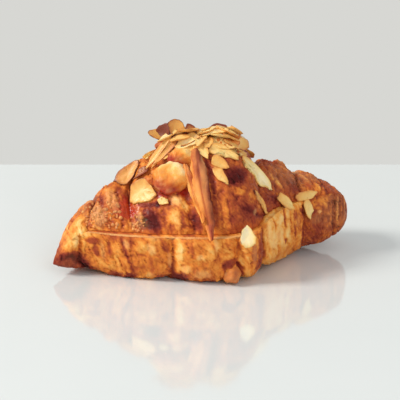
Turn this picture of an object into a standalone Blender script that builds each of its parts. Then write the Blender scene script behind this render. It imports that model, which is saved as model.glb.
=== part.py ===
"""An almond croissant, lying on its flat underside.

A baked crescent is sliced level through its waist. The top is set back a little on the bottom, so the
cut rim of the bottom half shows as a narrow ledge along the front. Flaked almonds are baked onto the
crown, the shoulders and the rim, and a long flap of dough hangs down the front.

+X runs along the croissant from its low, pointed end to its lifted, blunt end, +Y goes to the back and
+Z is up. The origin is under the middle, on the surface that it stands on.
"""

import math
import random
from collections import namedtuple

import bmesh
import bpy
import numpy as np
from mathutils import Matrix, Vector, noise
from mathutils.bvhtree import BVHTree

MM = 0.001

# ---------------------------------------------------------------------------- driving dimensions, in mm
LENGTH = 165.0  # tip to tip
BOX_MIDDLE_Y = -7.7  # the line between the tips is Y = 0 in the tables, and this is the box's middle
RIM_HEIGHT = 26.7  # the cut at the belly, from where it climbs to the right and falls a little to the left
RIM_GAP = 0.3  # between the two halves
LEDGE = 3.8  # how far the top half is set back behind the front rim
LEDGE_AT_ENDS = 1.2
LEDGE_NARROWS_RIGHT = (18.0, 42.0)  # where along X the ledge changes from the one to the other
LEDGE_NARROWS_LEFT = (-56.0, -70.0)
BACK_LEDGE = 1.6

ROUNDING = 2.9  # power of the superellipse of the bottom half's wall
UNDER_ROUNDING = 3.6  # and under it, where it has settled flat
END_ROUNDING = 2.2
WALL_OVER_RIM = 1.2  # the wall's superellipse is this much taller than the rim, and is cut off at it
END_OVER_RIM = 1.04
END_REACH = 17.0  # the last stretch of each arm, where the section turns into a round nub
TIP_REACH, TIP_DOME = 7.0, 1.5  # past the top half's ends, where the cut gives way to crust
BELOW_CUT = 0.3  # how far the bottom half's crust stays below the level of the cut
ABOVE_CUT = 0.4  # and the top half's above it
THINNEST_TOP = 1.2
TOP_FADES = (50.0, 72.0)  # distance from the middle over which the top half's relief fades

SETTLED = 1.6  # how far the belly has sunk onto the baking tray
SETTLED_LEFT, SETTLED_RIGHT = (-64.0, -48.0), (60.0, 35.0)  # along X: not at all, and fully
SETTLED_HEIGHT = (4.0, 12.0)  # up the wall: fully, and not at all

WRAP_STEP = 1.6  # how far each wrap of dough stands over the next one out
WRAP_CROWN = 1.8  # how far each wrap swells between its two edges
GROOVE_DEPTH, GROOVE_WIDTH = 2.6, 2.8  # the furrow where two wraps meet
WRAP_TURNS = 0.6  # share of the way round in which an edge slants from its front to its back place
PAST_TIPS = 4.0  # the outermost wraps end this far past the tips
CRAG = 0.55  # height of the coarse crags in the crust
CRAG_SIZE = 7.0
CRAG_SHIFT = 40.0  # gives the top half crags of its own
# Shares of the wraps' relief that are left under the belly, at the foot of the top half and at the tips
UNDER_RELIEF, FOOT_RELIEF, LOWER_TIP_RELIEF, UPPER_TIP_RELIEF = 0.25, 0.35, 0.2, 0.15

STATIONS, LOWER_RING, LOWER_TOP_RING = 66, 28, 6
UPPER_STATIONS, UPPER_RING, UPPER_FLAT_RING = 62, 30, 6
END_CROWDING = 0.35  # 0 spaces the stations evenly, 1 crowds them to the ends like a circle's

# The outline at stations along the length. Each half is a loft through them.
#   front, back: the widest points of the wall; under: the underside; rim: the level of the cut
Lower = namedtuple("Lower", "x front back under rim")
LOWER = [
    Lower(-82.5, 0.5, 2.5, 5.0, 8.0),
    Lower(-79.0, -2.5, 6.5, 4.4, 13.0),
    Lower(-75.0, -4.0, 11.0, 3.6, 19.0),
    Lower(-71.0, -5.0, 16.0, 3.0, 22.6),
    Lower(-66.0, -7.0, 22.0, 2.0, RIM_HEIGHT - 3.0),
    Lower(-58.0, -11.5, 28.0, 0.6, RIM_HEIGHT - 3.4),
    Lower(-48.0, -19.0, 30.5, 0.0, RIM_HEIGHT - 3.3),
    Lower(-34.0, -28.5, 30.0, 0.0, RIM_HEIGHT - 2.9),
    Lower(-20.0, -37.0, 29.5, 0.0, RIM_HEIGHT - 2.3),
    Lower(-6.0, -43.0, 28.5, 0.0, RIM_HEIGHT - 1.9),
    Lower(7.0, -46.5, 28.0, 0.8, RIM_HEIGHT - 0.8),
    Lower(16.0, -43.7, 28.4, 2.6, RIM_HEIGHT + 1.0),
    Lower(23.0, -37.5, 29.0, 2.6, RIM_HEIGHT + 4.0),
    Lower(31.0, -29.7, 29.6, 2.4, RIM_HEIGHT + 5.2),
    Lower(43.0, -21.0, 30.5, 2.4, RIM_HEIGHT + 6.0),
    Lower(56.0, -16.5, 26.0, 3.8, RIM_HEIGHT + 6.8),
    Lower(67.0, -14.5, 19.5, 6.0, RIM_HEIGHT + 6.6),
    Lower(76.0, -9.5, 14.5, 9.5, RIM_HEIGHT + 3.2),
    Lower(82.5, 0.5, 5.0, 16.0, 21.5),
]
#   ridge, top: where the crest of the top half runs and how high; slope: 1 is round, 2 is straight
Upper = namedtuple("Upper", "x ridge top slope")
UPPER = [
    Upper(-73.0, 5.0, 23.0, 1.2),
    Upper(-70.0, 6.0, 26.5, 1.2),
    Upper(-65.0, 8.0, 30.5, 1.3),
    Upper(-57.0, 9.0, 38.0, 1.4),
    Upper(-47.0, 10.0, 42.0, 1.5),
    Upper(-38.0, 11.0, 50.5, 1.6),
    Upper(-30.0, 10.0, 56.5, 1.5),
    Upper(-20.0, 6.0, 61.0, 1.3),
    Upper(-8.0, 1.0, 63.5, 1.15),
    Upper(6.0, -1.0, 63.5, 1.1),
    Upper(16.0, 1.0, 61.0, 1.15),
    Upper(24.0, 4.0, 56.0, 1.2),
    Upper(30.0, 8.0, 49.5, 1.3),
    Upper(36.0, 10.0, 48.0, 1.3),
    Upper(44.0, 9.5, 45.0, 1.2),
    Upper(55.0, 7.0, 40.2, 1.1),
    Upper(63.0, 6.0, 38.6, 1.1),
    Upper(72.0, 5.0, 33.6, 1.2),
]

# The edges of the wraps: where each crosses the front (at the rim or below it) and the crest or back.
Wrap = namedtuple("Wrap", "front back")
LOWER_WRAPS = [Wrap(-68, -62), Wrap(-27, -36), Wrap(3, 8), Wrap(17.5, 30), Wrap(49, 54), Wrap(68, 70)]
UPPER_WRAPS = [Wrap(-64, -56), Wrap(-43, -35), Wrap(-16, -30), Wrap(21, 30), Wrap(48, 53), Wrap(64, 66)]
CENTRE_WRAP = -2.0  # wraps left of this step down to the left, the others to the right


# ---------------------------------------------------------------------------- the curves
def smooth(x, rows, field):
    """A cubic through one column of a table, at the places x."""
    xs = np.array([row.x for row in rows])
    ys = np.array([getattr(row, field) for row in rows])
    slopes = np.gradient(ys, xs)
    at = np.clip(np.searchsorted(xs, x) - 1, 0, len(xs) - 2)
    span = xs[at + 1] - xs[at]
    u = np.clip((x - xs[at]) / span, 0.0, 1.0)
    start, end = 1 - 3 * u**2 + 2 * u**3, 3 * u**2 - 2 * u**3
    return (
        start * ys[at]
        + end * ys[at + 1]
        + span * (u - 2 * u**2 + u**3) * slopes[at]
        + span * (u**3 - u**2) * slopes[at + 1]
    )


def ease(value, none, full):
    """0 at none and before it, 1 at full and past it, and smooth between."""
    u = np.clip((value - none) / (full - none), 0.0, 1.0)
    return u * u * (3 - 2 * u)


def mixed(first, second, share):
    return first + (second - first) * share


def near_end(x, reach=END_REACH):
    """0 along the middle of the croissant, rising to 1 at its tips."""
    return ease(np.abs(x), LENGTH / 2 - reach, LENGTH / 2)


def wrap_relief(x, turn, wraps):
    """How far the wraps stand out at x, where turn goes from 0 on the front to 1 at the back."""
    edges = [-LENGTH / 2 - PAST_TIPS + 0 * turn]
    edges += [mixed(wrap.front, wrap.back, ease(turn, 0.0, WRAP_TURNS)) for wrap in wraps]
    edges += [LENGTH / 2 + PAST_TIPS + 0 * turn]
    relief = np.zeros_like(x)
    for start, end in zip(edges, edges[1:]):
        inside = (x >= start) & (x < end)
        w = np.clip((x - start) / (end - start), 0.0, 1.0)
        middle = (start + end) / 2
        step = np.where(middle < CENTRE_WRAP, 1 - w, w) * WRAP_STEP
        swell = WRAP_CROWN * (1 - (2 * w - 1) ** 2)
        from_edge = np.minimum(x - start, end - x)
        furrow = GROOVE_DEPTH * np.exp(-((from_edge / GROOVE_WIDTH) ** 2))
        relief = np.where(inside, step + swell - furrow, relief)
    return relief - (WRAP_STEP + WRAP_CROWN) / 2


def crags(points):
    """Coarse unevenness of the crust at points in mm."""
    roughness, octave_ratio, octaves = 0.8, 2.1, 3
    heights = [
        noise.fractal(Vector(point) / CRAG_SIZE, roughness, octave_ratio, octaves)
        for point in points.reshape(-1, 3)
    ]
    return CRAG * np.array(heights).reshape(points.shape[:-1])


def moved_out(y, z, across, up, amount):
    """A section's points moved out along the direction (across, up)."""
    size = np.maximum(np.hypot(across, up), 1e-9)
    return y + amount * across / size, z + amount * up / size


# ---------------------------------------------------------------------------- the two halves
# The bottom half's section at x: a superellipse about (middle, centre), cut off level at the rim.
Wall = namedtuple("Wall", "middle half centre tall power rim_angle rim_half rim end")


def wall_at(x):
    front, back = smooth(x, LOWER, "front"), smooth(x, LOWER, "back")
    under, rim = smooth(x, LOWER, "under"), smooth(x, LOWER, "rim")
    end = near_end(x)
    power = mixed(ROUNDING, END_ROUNDING, end)
    half = (back - front) / 2
    tall = (rim - under) * mixed(WALL_OVER_RIM, END_OVER_RIM, end) / 2
    centre = under + tall
    rim_angle = np.arcsin(np.clip((rim - centre) / tall, -1, 1) ** (power / 2))
    rim_half = half * np.cos(rim_angle) ** (2 / power)
    return Wall((front + back) / 2, half, centre, tall, power, rim_angle, rim_half, rim, end)


def lower_section(x, turn_round):
    """The bottom half at station x, where turn_round goes 0 to 1: over the cut face, then round the wall."""
    wall = wall_at(x)
    flat = LOWER_TOP_RING / LOWER_RING
    on_top = turn_round <= flat
    side = 2 * np.clip(turn_round / flat, 0, 1) - 1
    y_top = wall.middle + wall.rim_half * side
    z_top = wall.rim + TIP_DOME * near_end(x, TIP_REACH) * (1 - side**2)

    w = np.clip((turn_round - flat) / (1 - flat), 0, 1)
    angle = wall.rim_angle - w * (math.pi + 2 * wall.rim_angle)
    squarer = (UNDER_ROUNDING - ROUNDING) * (1 - wall.end)
    power = np.where(angle < 0, wall.power + squarer, wall.power)
    across = np.sign(np.cos(angle)) * np.abs(np.cos(angle)) ** (2 / power)
    up = np.sign(np.sin(angle)) * np.abs(np.sin(angle)) ** (2 / power)
    y_wall, z_wall = wall.middle + wall.half * across, wall.centre + wall.tall * up

    relief = wrap_relief(x, (1 + across) / 2, LOWER_WRAPS) * mixed(UNDER_RELIEF, 1.0, 1 - up**2)
    out = relief * mixed(1.0, LOWER_TIP_RELIEF, wall.end) + crags(np.stack([x, y_wall, z_wall], axis=-1))
    outward = np.cos(angle) * wall.tall, np.sin(angle) * wall.half / 2
    y_out, z_out = moved_out(y_wall, z_wall, *outward, out)
    at_rim = (w < 0.001) | (w > 0.999)
    z_out = np.minimum(z_out, wall.rim - BELOW_CUT * np.sin(math.pi * w))
    z_out = np.where(at_rim, wall.rim, z_out)
    settled = ease(x, *SETTLED_RIGHT) * ease(x, *SETTLED_LEFT) * (1 - ease(z_out, *SETTLED_HEIGHT))
    z_out = np.maximum(z_out - SETTLED * settled, 0.0)
    return np.where(on_top, y_top, y_out), np.where(on_top, z_top, z_out)


def upper_section(x, turn_round):
    """The top half at station x, where turn_round goes 0 to 1: along its cut face, then over the crest."""
    wall = wall_at(x)
    narrowed = ease(x, *LEDGE_NARROWS_RIGHT) + ease(x, *LEDGE_NARROWS_LEFT)
    front = wall.middle - wall.rim_half + mixed(LEDGE, LEDGE_AT_ENDS, narrowed)
    back = wall.middle + wall.rim_half - BACK_LEDGE
    ridge, top, slope = (smooth(x, UPPER, field) for field in ("ridge", "top", "slope"))
    foot = wall.rim + RIM_GAP
    tall = np.maximum(top - foot, THINNEST_TOP)

    flat = UPPER_FLAT_RING / UPPER_RING
    on_cut = turn_round <= flat
    y_cut = mixed(back, front, np.clip(turn_round / flat, 0, 1))

    angle = math.pi * (1 - np.clip((turn_round - flat) / (1 - flat), 0, 1))
    across = np.cos(angle)
    reach = np.where(across < 0, ridge - front, back - ridge)
    bent = np.where(across < 0, slope, 1.0)
    y_over = ridge + reach * np.sign(across) * np.abs(across) ** bent
    z_over = foot + tall * np.sin(angle) ** bent

    relief = wrap_relief(x, (1 + across) / 2, UPPER_WRAPS) * mixed(FOOT_RELIEF, 1.0, np.sin(angle))
    relief = relief * mixed(1.0, UPPER_TIP_RELIEF, ease(np.abs(x), *TOP_FADES))
    out = relief + crags(np.stack([x, y_over, z_over], axis=-1) + CRAG_SHIFT)
    y_out, z_out = moved_out(y_over, z_over, across * tall, np.sin(angle) * reach, out)
    z_out = np.maximum(z_out, foot + ABOVE_CUT * np.sin(angle))
    z_out = np.where(np.sin(angle) < 0.001, foot, z_out)
    return np.where(on_cut, y_cut, y_out), np.where(on_cut, foot, z_out)


def new_part(bm, name, collection):
    """An object made from bm, with its faces pointing out."""
    if bm.calc_volume(signed=True) < 0:
        bmesh.ops.reverse_faces(bm, faces=bm.faces)
    mesh = bpy.data.meshes.new(name)
    bm.to_mesh(mesh)
    bm.free()
    part = bpy.data.objects.new(name, mesh)
    collection.objects.link(part)
    return part


def lofted(name, section, first, last, stations, ring, collection):
    """A closed loft: a sphere's rings are laid out as sections along X, and its poles as the two ends."""
    bm = bmesh.new()
    bmesh.ops.create_uvsphere(bm, u_segments=ring, v_segments=stations, radius=1.0)
    bm.verts.ensure_lookup_table()
    unit = np.array([vert.co for vert in bm.verts])
    along = np.rint(np.arccos(np.clip(unit[:, 2], -1, 1)) / math.pi * stations)
    turn = np.rint(np.arctan2(unit[:, 1], unit[:, 0]) / (2 * math.pi) * ring) % ring
    even, crowded = along / stations, (1 - np.cos(math.pi * along / stations)) / 2
    x = mixed(first, last, mixed(even, crowded, END_CROWDING))
    y, z = section(x, turn / ring)
    for end in (0, stations):
        at_end = along == end
        every_y, every_z = section(np.full(ring, x[at_end][0]), np.arange(ring) / ring)
        y[at_end], z[at_end] = every_y.mean(), every_z.mean()
    for vert, place in zip(bm.verts, np.stack([x, y, z], axis=-1) * MM):
        vert.co = place
    return new_part(bm, name, collection)


# ---------------------------------------------------------------------------- what lies on the halves
FLAKE_THICK = 1.2
FLAKE_LAP = 1.0  # how far a flake reaches past its start and its end
FLAKE_SIDES, FLAKE_RINGS = 8, 3
FLAKE_TAPER, FLAKE_BLUNT = 0.28, 0.12  # one end is pointed, and both are drawn in
FLAKE_CUP = 1.3  # how deep a flake's hollow is
CUP_ALONG, CUP_LEVEL = 0.6, 0.5  # it is shallower along the flake, and its middle lies low

# A flake reaches from start to end. Roll turns it about that line, from flat on the crust to on edge.
Flake = namedtuple("Flake", "start end width roll thick", defaults=(0.0, FLAKE_THICK))
UPPER_FLAKES = [
    # the large ones on the left shoulder, and the two glazed lumps behind them
    Flake((-41.8, 0.7, 42.0), (-31.1, -11.8, 43.0), 14.5, 20.0),
    Flake((-45.4, 9.0, 43.2), (-33.5, 8.5, 55.0), 9.0, 30.0),
    Flake((-30.8, -6.0, 47.2), (-15.9, -12.6, 52.6), 18.5, 10.0, 5.2),
    Flake((-19.5, -3.0, 58.0), (-10.5, -10.0, 60.0), 10.0, 0.0, 5.0),
    Flake((-31.0, -15.0, 40.0), (-26.0, -18.9, 39.5), 5.0),
    # long ones that run down to the left from the crown
    Flake((-17.6, 2.5, 69.4), (-31.8, 0.5, 53.2), 8.0, 20.0),
    Flake((-16.2, 0.0, 66.2), (-29.6, 0.0, 54.6), 6.0, 10.0),
    Flake((-31.0, 0.5, 53.0), (-38.0, 2.0, 47.6), 6.0, 10.0),
    # the heap on the crown
    Flake((-22.0, 8.5, 66.5), (-19.0, 7.0, 73.5), 10.0, 60.0),
    Flake((-17.2, 6.5, 74.0), (-10.5, 4.5, 68.0), 9.5, 60.0),
    Flake((-26.6, 10.5, 69.5), (-18.5, 8.0, 66.5), 8.0, 45.0),
    Flake((-9.5, 5.0, 71.5), (-2.5, 4.0, 68.0), 7.0, 45.0),
    Flake((3.0, 6.0, 67.5), (13.5, 3.5, 70.0), 7.0, 30.0),
    Flake((12.5, 3.0, 66.5), (25.0, 2.0, 61.5), 9.5, 32.0),
    Flake((8.5, -8.0, 63.8), (20.0, -5.0, 57.6), 9.5, 20.0, 2.6),
    Flake((-17.0, -1.5, 64.5), (-6.0, -6.0, 66.5), 8.0),
    Flake((-12.5, 3.0, 67.0), (-2.0, -7.0, 66.5), 8.0, 15.0),
    Flake((-1.0, 2.0, 67.5), (12.5, -2.0, 66.5), 9.0, 10.0),
    Flake((-1.5, -3.0, 66.5), (11.0, -12.5, 63.0), 8.5),
    Flake((-1.5, -11.0, 64.0), (12.5, -18.0, 59.0), 8.5, 12.0),
    Flake((-2.5, -17.5, 60.5), (3.5, -23.5, 56.5), 7.0),
    # the ones on the front slope and down the right shoulder
    Flake((14.0, -16.0, 58.5), (29.6, -18.5, 40.2), 8.5, 12.0),
    Flake((-2.0, -21.5, 56.5), (1.3, -29.2, 49.4), 6.0),
    Flake((16.3, -28.9, 44.2), (23.0, -29.0, 31.5), 5.0, 30.0),
    Flake((32.6, -20.3, 38.8), (40.4, -24.0, 30.0), 6.0),
    Flake((44.5, -18.0, 34.6), (57.0, -14.5, 35.2), 5.0, 20.0),
]
LOWER_FLAKES = [
    Flake((7.4, -47.7, 21.0), (6.8, -44.2, 30.6), 8.0),
    Flake((50.5, -17.0, 33.0), (52.5, -17.5, 23.0), 5.0),
]
# Flakes scattered over the back, where the photograph doesn't look: how many and over which oval
BACK_FLAKES, BACK_SEED = 16, 11
BACK_MIDDLE, BACK_SPREAD = (-4.0, 15.0), (32.0, 6.0)
BACK_LENGTHS, BACK_WIDTHS, BACK_ROLL = (12.4, 16.3), (7.2, 9.8), 14.0
BACK_LIFT = 0.5
GOLDEN_ANGLE = math.pi * (3 - math.sqrt(5))
OVERHEAD = 100.0

# Strips of dough hang down the front. Their middle lies lift above the slope, and they narrow downwards.
Strip = namedtuple("Strip", "start end width thick lift")
STRIPS = [
    Strip((-8.8, -9.0, 64.5), (-9.8, -38.0, 27.2), 7.8, 4.8, 1.6),
    Strip((-15.2, -11.5, 57.0), (-12.4, -33.5, 34.5), 5.6, 3.4, 1.0),
]
STRIP_STATIONS, STRIP_SIDES = 12, 8
STRIP_BLUNT = 0.5  # 1 gives a strip pointed ends, 0 square ones
STRIP_NARROWS = 0.35  # how much of its width it has lost at its lower end

# Mounds of browned almond cream under the heap of flakes, and a small knob of dough under the belly
Mound = namedtuple("Mound", "centre radii")
MOUNDS = [Mound((-15.0, 7.0, 62.5), (11.5, 8.0, 6.5)), Mound((7.0, 1.0, 63.0), (14.0, 9.0, 4.5))]
KNOB = Mound((0.0, -41.5, 5.4), (4.4, 5.0, 4.9))
MOUND_SIDES, MOUND_RINGS = 14, 9
RIM_LIFT, NEXT_LIFT = 0.1, 0.02  # what rests on the rim, each piece at a level of its own


def tree_of(part):
    """A search tree over a part's faces, in metres."""
    mesh = part.data
    return BVHTree.FromPolygons([v.co for v in mesh.vertices], [tuple(p.vertices) for p in mesh.polygons])


def flake_solid(flake, tree, collection, name):
    """A thin, cupped almond slice with a blunt and a pointed end."""
    start, end = Vector(flake.start) * MM, Vector(flake.end) * MM
    normal = tree.find_nearest((start + end) / 2)[1]
    along = (end - start).normalized()
    out = (normal - along * normal.dot(along)).normalized()
    frame = Matrix((along, out.cross(along), out)).transposed().to_4x4()
    frame.translation = (start + end) / 2
    frame @= Matrix.Rotation(math.radians(flake.roll), 4, "X")
    long, wide = (end - start).length / MM / 2 + FLAKE_LAP, flake.width / 2
    widest = math.sin(math.pi / FLAKE_RINGS)
    bm = bmesh.new()
    bmesh.ops.create_uvsphere(bm, u_segments=FLAKE_SIDES, v_segments=FLAKE_RINGS, radius=1.0)
    for vert in bm.verts:
        u, v, w = vert.co.x / widest, vert.co.y / widest, vert.co.z
        taper = 1.0 - FLAKE_TAPER * u - FLAKE_BLUNT * u * u
        cup = FLAKE_CUP * (CUP_ALONG * u * u + v * v - CUP_LEVEL)
        vert.co = Vector((u * long, v * wide * taper, w * flake.thick + cup)) * MM
    bmesh.ops.transform(bm, matrix=frame, verts=bm.verts)
    return new_part(bm, name, collection)


def strip_solid(strip, tree, collection, name):
    """A flattened roll of dough that follows the slope under it."""
    start, end = Vector(strip.start) * MM, Vector(strip.end) * MM
    bm = bmesh.new()
    bmesh.ops.create_uvsphere(bm, u_segments=STRIP_SIDES, v_segments=STRIP_STATIONS, radius=1.0)
    for vert in bm.verts:
        u = math.acos(max(-1.0, min(1.0, vert.co.z))) / math.pi
        place, normal = tree.find_nearest(start.lerp(end, u))[:2]
        across = normal.cross(end - start).normalized()
        side = Vector((vert.co.x, vert.co.y))
        side *= max(side.length, 1e-6) ** (STRIP_BLUNT - 1)
        swell = (1 - STRIP_NARROWS * u * u) * MM
        vert.co = place + across * side.x * strip.width / 2 * swell
        vert.co += normal * (strip.lift * MM + side.y * strip.thick / 2 * swell)
    return new_part(bm, name, collection)


def oval_lump(mound, collection, name):
    bm = bmesh.new()
    bmesh.ops.create_uvsphere(bm, u_segments=MOUND_SIDES, v_segments=MOUND_RINGS, radius=MM)
    bmesh.ops.scale(bm, vec=Vector(mound.radii), verts=bm.verts)
    bmesh.ops.translate(bm, vec=Vector(mound.centre) * MM, verts=bm.verts)
    return new_part(bm, name, collection)


def rest_on_rim(part, lift):
    """Lifts what would sink into the bottom half onto its cut rim."""
    for vert in part.data.vertices:
        rim = wall_at(np.array([vert.co.x / MM])).rim[0]
        vert.co.z = max(vert.co.z, (rim + RIM_GAP + lift) * MM)


def back_flakes(tree):
    """Flakes spread over the back by the golden angle, each lying on the crust."""
    draw = random.Random(BACK_SEED)
    flakes = []
    for number in range(BACK_FLAKES):
        reach = math.sqrt((number + 0.5) / BACK_FLAKES)
        turn = number * GOLDEN_ANGLE
        x = BACK_MIDDLE[0] + BACK_SPREAD[0] * reach * math.cos(turn)
        y = BACK_MIDDLE[1] + BACK_SPREAD[1] * reach * math.sin(turn)
        place = tree.ray_cast(Vector((x, y, OVERHEAD)) * MM, Vector((0, 0, -1)))[0]
        heading = draw.uniform(0, math.pi)
        half = draw.uniform(*BACK_LENGTHS) / 2
        normal = tree.find_nearest(place)[1]
        along = Vector((math.cos(heading), math.sin(heading), 0))
        along = (along - normal * along.dot(normal)).normalized() * half
        centre = place / MM + normal * BACK_LIFT
        width = draw.uniform(*BACK_WIDTHS)
        roll = draw.uniform(-BACK_ROLL, BACK_ROLL)
        flakes.append(Flake(tuple(centre - along), tuple(centre + along), width, roll))
    return flakes


# ---------------------------------------------------------------------------- joining them
def shells_of(bm):
    """The faces of each connected shell."""
    left, shells = set(bm.faces), []
    while left:
        shell, edge = set(), [left.pop()]
        while edge:
            face = edge.pop()
            shell.add(face)
            near = {other for side in face.edges for other in side.link_faces} & left
            left -= near
            edge.extend(near)
        shells.append(shell)
    return shells


def fill_hollows(mesh):
    """Keeps the outer shell alone, so that what the toppings seal between them is solid."""
    bm = bmesh.new()
    bm.from_mesh(mesh)
    outer = max(shells_of(bm), key=len)
    scraps = [face for face in bm.faces if face not in outer]
    bmesh.ops.delete(bm, geom=scraps, context="FACES")
    bm.to_mesh(mesh)
    bm.free()
    return len(scraps)


def fuse(part, extras):
    """Joins the solids of a collection to a part, and removes them."""
    union = part.modifiers.new("fused toppings", "BOOLEAN")
    union.operation = "UNION"
    union.operand_type = "COLLECTION"
    union.collection = extras
    union.solver = "EXACT"
    graph = bpy.context.evaluated_depsgraph_get()
    mesh = bpy.data.meshes.new_from_object(part.evaluated_get(graph))
    part.modifiers.clear()
    part.data = mesh
    print(part.name, "faces left out as hollows or scraps:", fill_hollows(mesh))
    for extra in list(extras.objects):
        bpy.data.objects.remove(extra, do_unlink=True)
    bpy.data.collections.remove(extras)


def bake(part, name, colour, roughness):
    """Gives a part the one material of its crust."""
    material = bpy.data.materials.new(name)
    material.use_nodes = True
    shader = material.node_tree.nodes["Principled BSDF"]
    shader.inputs["Base Color"].default_value = (*colour, 1.0)
    shader.inputs["Roughness"].default_value = roughness
    shader.inputs["Metallic"].default_value = 0.0
    part.data.materials.clear()
    part.data.materials.append(material)


def collection_named(name, parent):
    collection = bpy.data.collections.new(name)
    parent.children.link(collection)
    return collection


def bottom_half(collection):
    extras = collection_named("on the bottom half", collection)
    half = lofted("lower_half", lower_section, -LENGTH / 2, LENGTH / 2, STATIONS, LOWER_RING, collection)
    tree = tree_of(half)
    for number, flake in enumerate(LOWER_FLAKES):
        flake_solid(flake, tree, extras, f"rim flake {number}")
    oval_lump(KNOB, extras, "knob")
    fuse(half, extras)
    bake(half, "golden crust", (0.62, 0.27, 0.07), 0.42)


def top_half(collection):
    extras = collection_named("on the top half", collection)
    ends = UPPER[0].x, UPPER[-1].x
    half = lofted("upper_half", upper_section, *ends, UPPER_STATIONS, UPPER_RING, collection)
    tree = tree_of(half)
    for number, flake in enumerate(UPPER_FLAKES + back_flakes(tree)):
        flake_solid(flake, tree, extras, f"flake {number}")
    for number, strip in enumerate(STRIPS):
        strip_solid(strip, tree, extras, f"strip {number}")
    for number, mound in enumerate(MOUNDS):
        oval_lump(mound, extras, f"cream {number}")
    for number, extra in enumerate(extras.objects):
        rest_on_rim(extra, RIM_LIFT + NEXT_LIFT * number)
    fuse(half, extras)
    bake(half, "glazed brown crust", (0.42, 0.15, 0.05), 0.32)


def main():
    for old in list(bpy.data.objects):
        bpy.data.objects.remove(old, do_unlink=True)
    croissant = collection_named("almond_croissant", bpy.context.scene.collection)
    bottom_half(croissant)
    top_half(croissant)
    for half in croissant.objects:
        half.data.transform(Matrix.Translation((0.0, -BOX_MIDDLE_Y * MM, 0.0)))


if __name__ == "__main__":
    main()
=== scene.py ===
# %% [markdown]
# # An almond croissant
# A baked crescent of layered dough is sliced level through its waist, closed again, topped with almond
# cream and flaked almonds, and baked a second time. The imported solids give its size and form. This
# script gives it crust, crumb, almonds and glaze, each as a mesh that keeps to the solid it stands for.

import math
import random
from collections import namedtuple
from functools import partial

import bpy
import numpy as np
from mathutils import Matrix, Vector, noise
from mathutils.bvhtree import BVHTree


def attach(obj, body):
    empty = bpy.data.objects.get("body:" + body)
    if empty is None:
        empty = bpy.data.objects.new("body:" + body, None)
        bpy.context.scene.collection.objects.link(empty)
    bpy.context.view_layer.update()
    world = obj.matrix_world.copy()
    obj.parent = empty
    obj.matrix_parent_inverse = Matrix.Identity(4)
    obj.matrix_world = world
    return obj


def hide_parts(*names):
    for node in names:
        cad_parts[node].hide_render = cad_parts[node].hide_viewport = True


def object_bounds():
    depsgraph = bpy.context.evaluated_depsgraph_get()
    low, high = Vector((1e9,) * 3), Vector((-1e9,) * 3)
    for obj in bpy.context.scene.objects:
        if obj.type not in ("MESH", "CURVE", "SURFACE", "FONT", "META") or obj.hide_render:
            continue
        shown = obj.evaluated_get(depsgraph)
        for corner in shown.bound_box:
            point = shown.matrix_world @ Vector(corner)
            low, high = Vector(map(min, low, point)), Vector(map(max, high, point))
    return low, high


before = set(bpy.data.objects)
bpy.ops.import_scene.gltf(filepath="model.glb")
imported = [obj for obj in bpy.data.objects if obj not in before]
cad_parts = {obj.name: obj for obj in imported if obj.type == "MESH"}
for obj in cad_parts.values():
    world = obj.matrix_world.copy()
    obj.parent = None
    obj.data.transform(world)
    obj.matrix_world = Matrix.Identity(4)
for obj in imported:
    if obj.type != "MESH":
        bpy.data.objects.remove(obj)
cad_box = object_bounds()
MM = 0.001
solid_sides = [round(side / MM, 1) for side in cad_box[1] - cad_box[0]]
print("solids:", sorted(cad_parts), "box in mm:", solid_sides)

# %% [markdown]
# ## The form
# A croissant could be sculpted by hand, but its form is simple: a section that changes along its length.
# Each half is a loft through a short table, in millimetres, in which Y = 0 is the line between the tips.
# The solids were made from the same tables, so the finer meshes here lie on them.

# %% The bottom half's table
LENGTH = 165.0
BOX_MIDDLE_Y = -7.7  # the middle of the croissant's box, from the line between its tips
RIM_HEIGHT = 26.7


def rows_of(kind, *rows):
    """A table's rows as named tuples. What a row leaves off at its end has its default."""
    return [kind(*row) for row in rows]


Lower = namedtuple("Lower", "x front back under rim")
LOWER = rows_of(
    Lower,
    (-82.5, 0.5, 2.5, 5, 8), (-79, -2.5, 6.5, 4.4, 13), (-75, -4, 11, 3.6, 19), (-71, -5, 16, 3, 22.6),
    (-66, -7, 22, 2, RIM_HEIGHT - 3), (-58, -11.5, 28, 0.6, RIM_HEIGHT - 3.4),
    (-48, -19, 30.5, 0, RIM_HEIGHT - 3.3), (-34, -28.5, 30, 0, RIM_HEIGHT - 2.9),
    (-20, -37, 29.5, 0, RIM_HEIGHT - 2.3), (-6, -43, 28.5, 0, RIM_HEIGHT - 1.9),
    (7, -46.5, 28, 0.8, RIM_HEIGHT - 0.8), (16, -43.7, 28.4, 2.6, RIM_HEIGHT + 1),
    (23, -37.5, 29, 2.6, RIM_HEIGHT + 4), (31, -29.7, 29.6, 2.4, RIM_HEIGHT + 5.2),
    (43, -21, 30.5, 2.4, RIM_HEIGHT + 6), (56, -16.5, 26, 3.8, RIM_HEIGHT + 6.8),
    (67, -14.5, 19.5, 6, RIM_HEIGHT + 6.6), (76, -9.5, 14.5, 9.5, RIM_HEIGHT + 3.2),
    (82.5, 0.5, 5, 16, 21.5),
)
print(len(LOWER), "stations along the bottom half")

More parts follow.
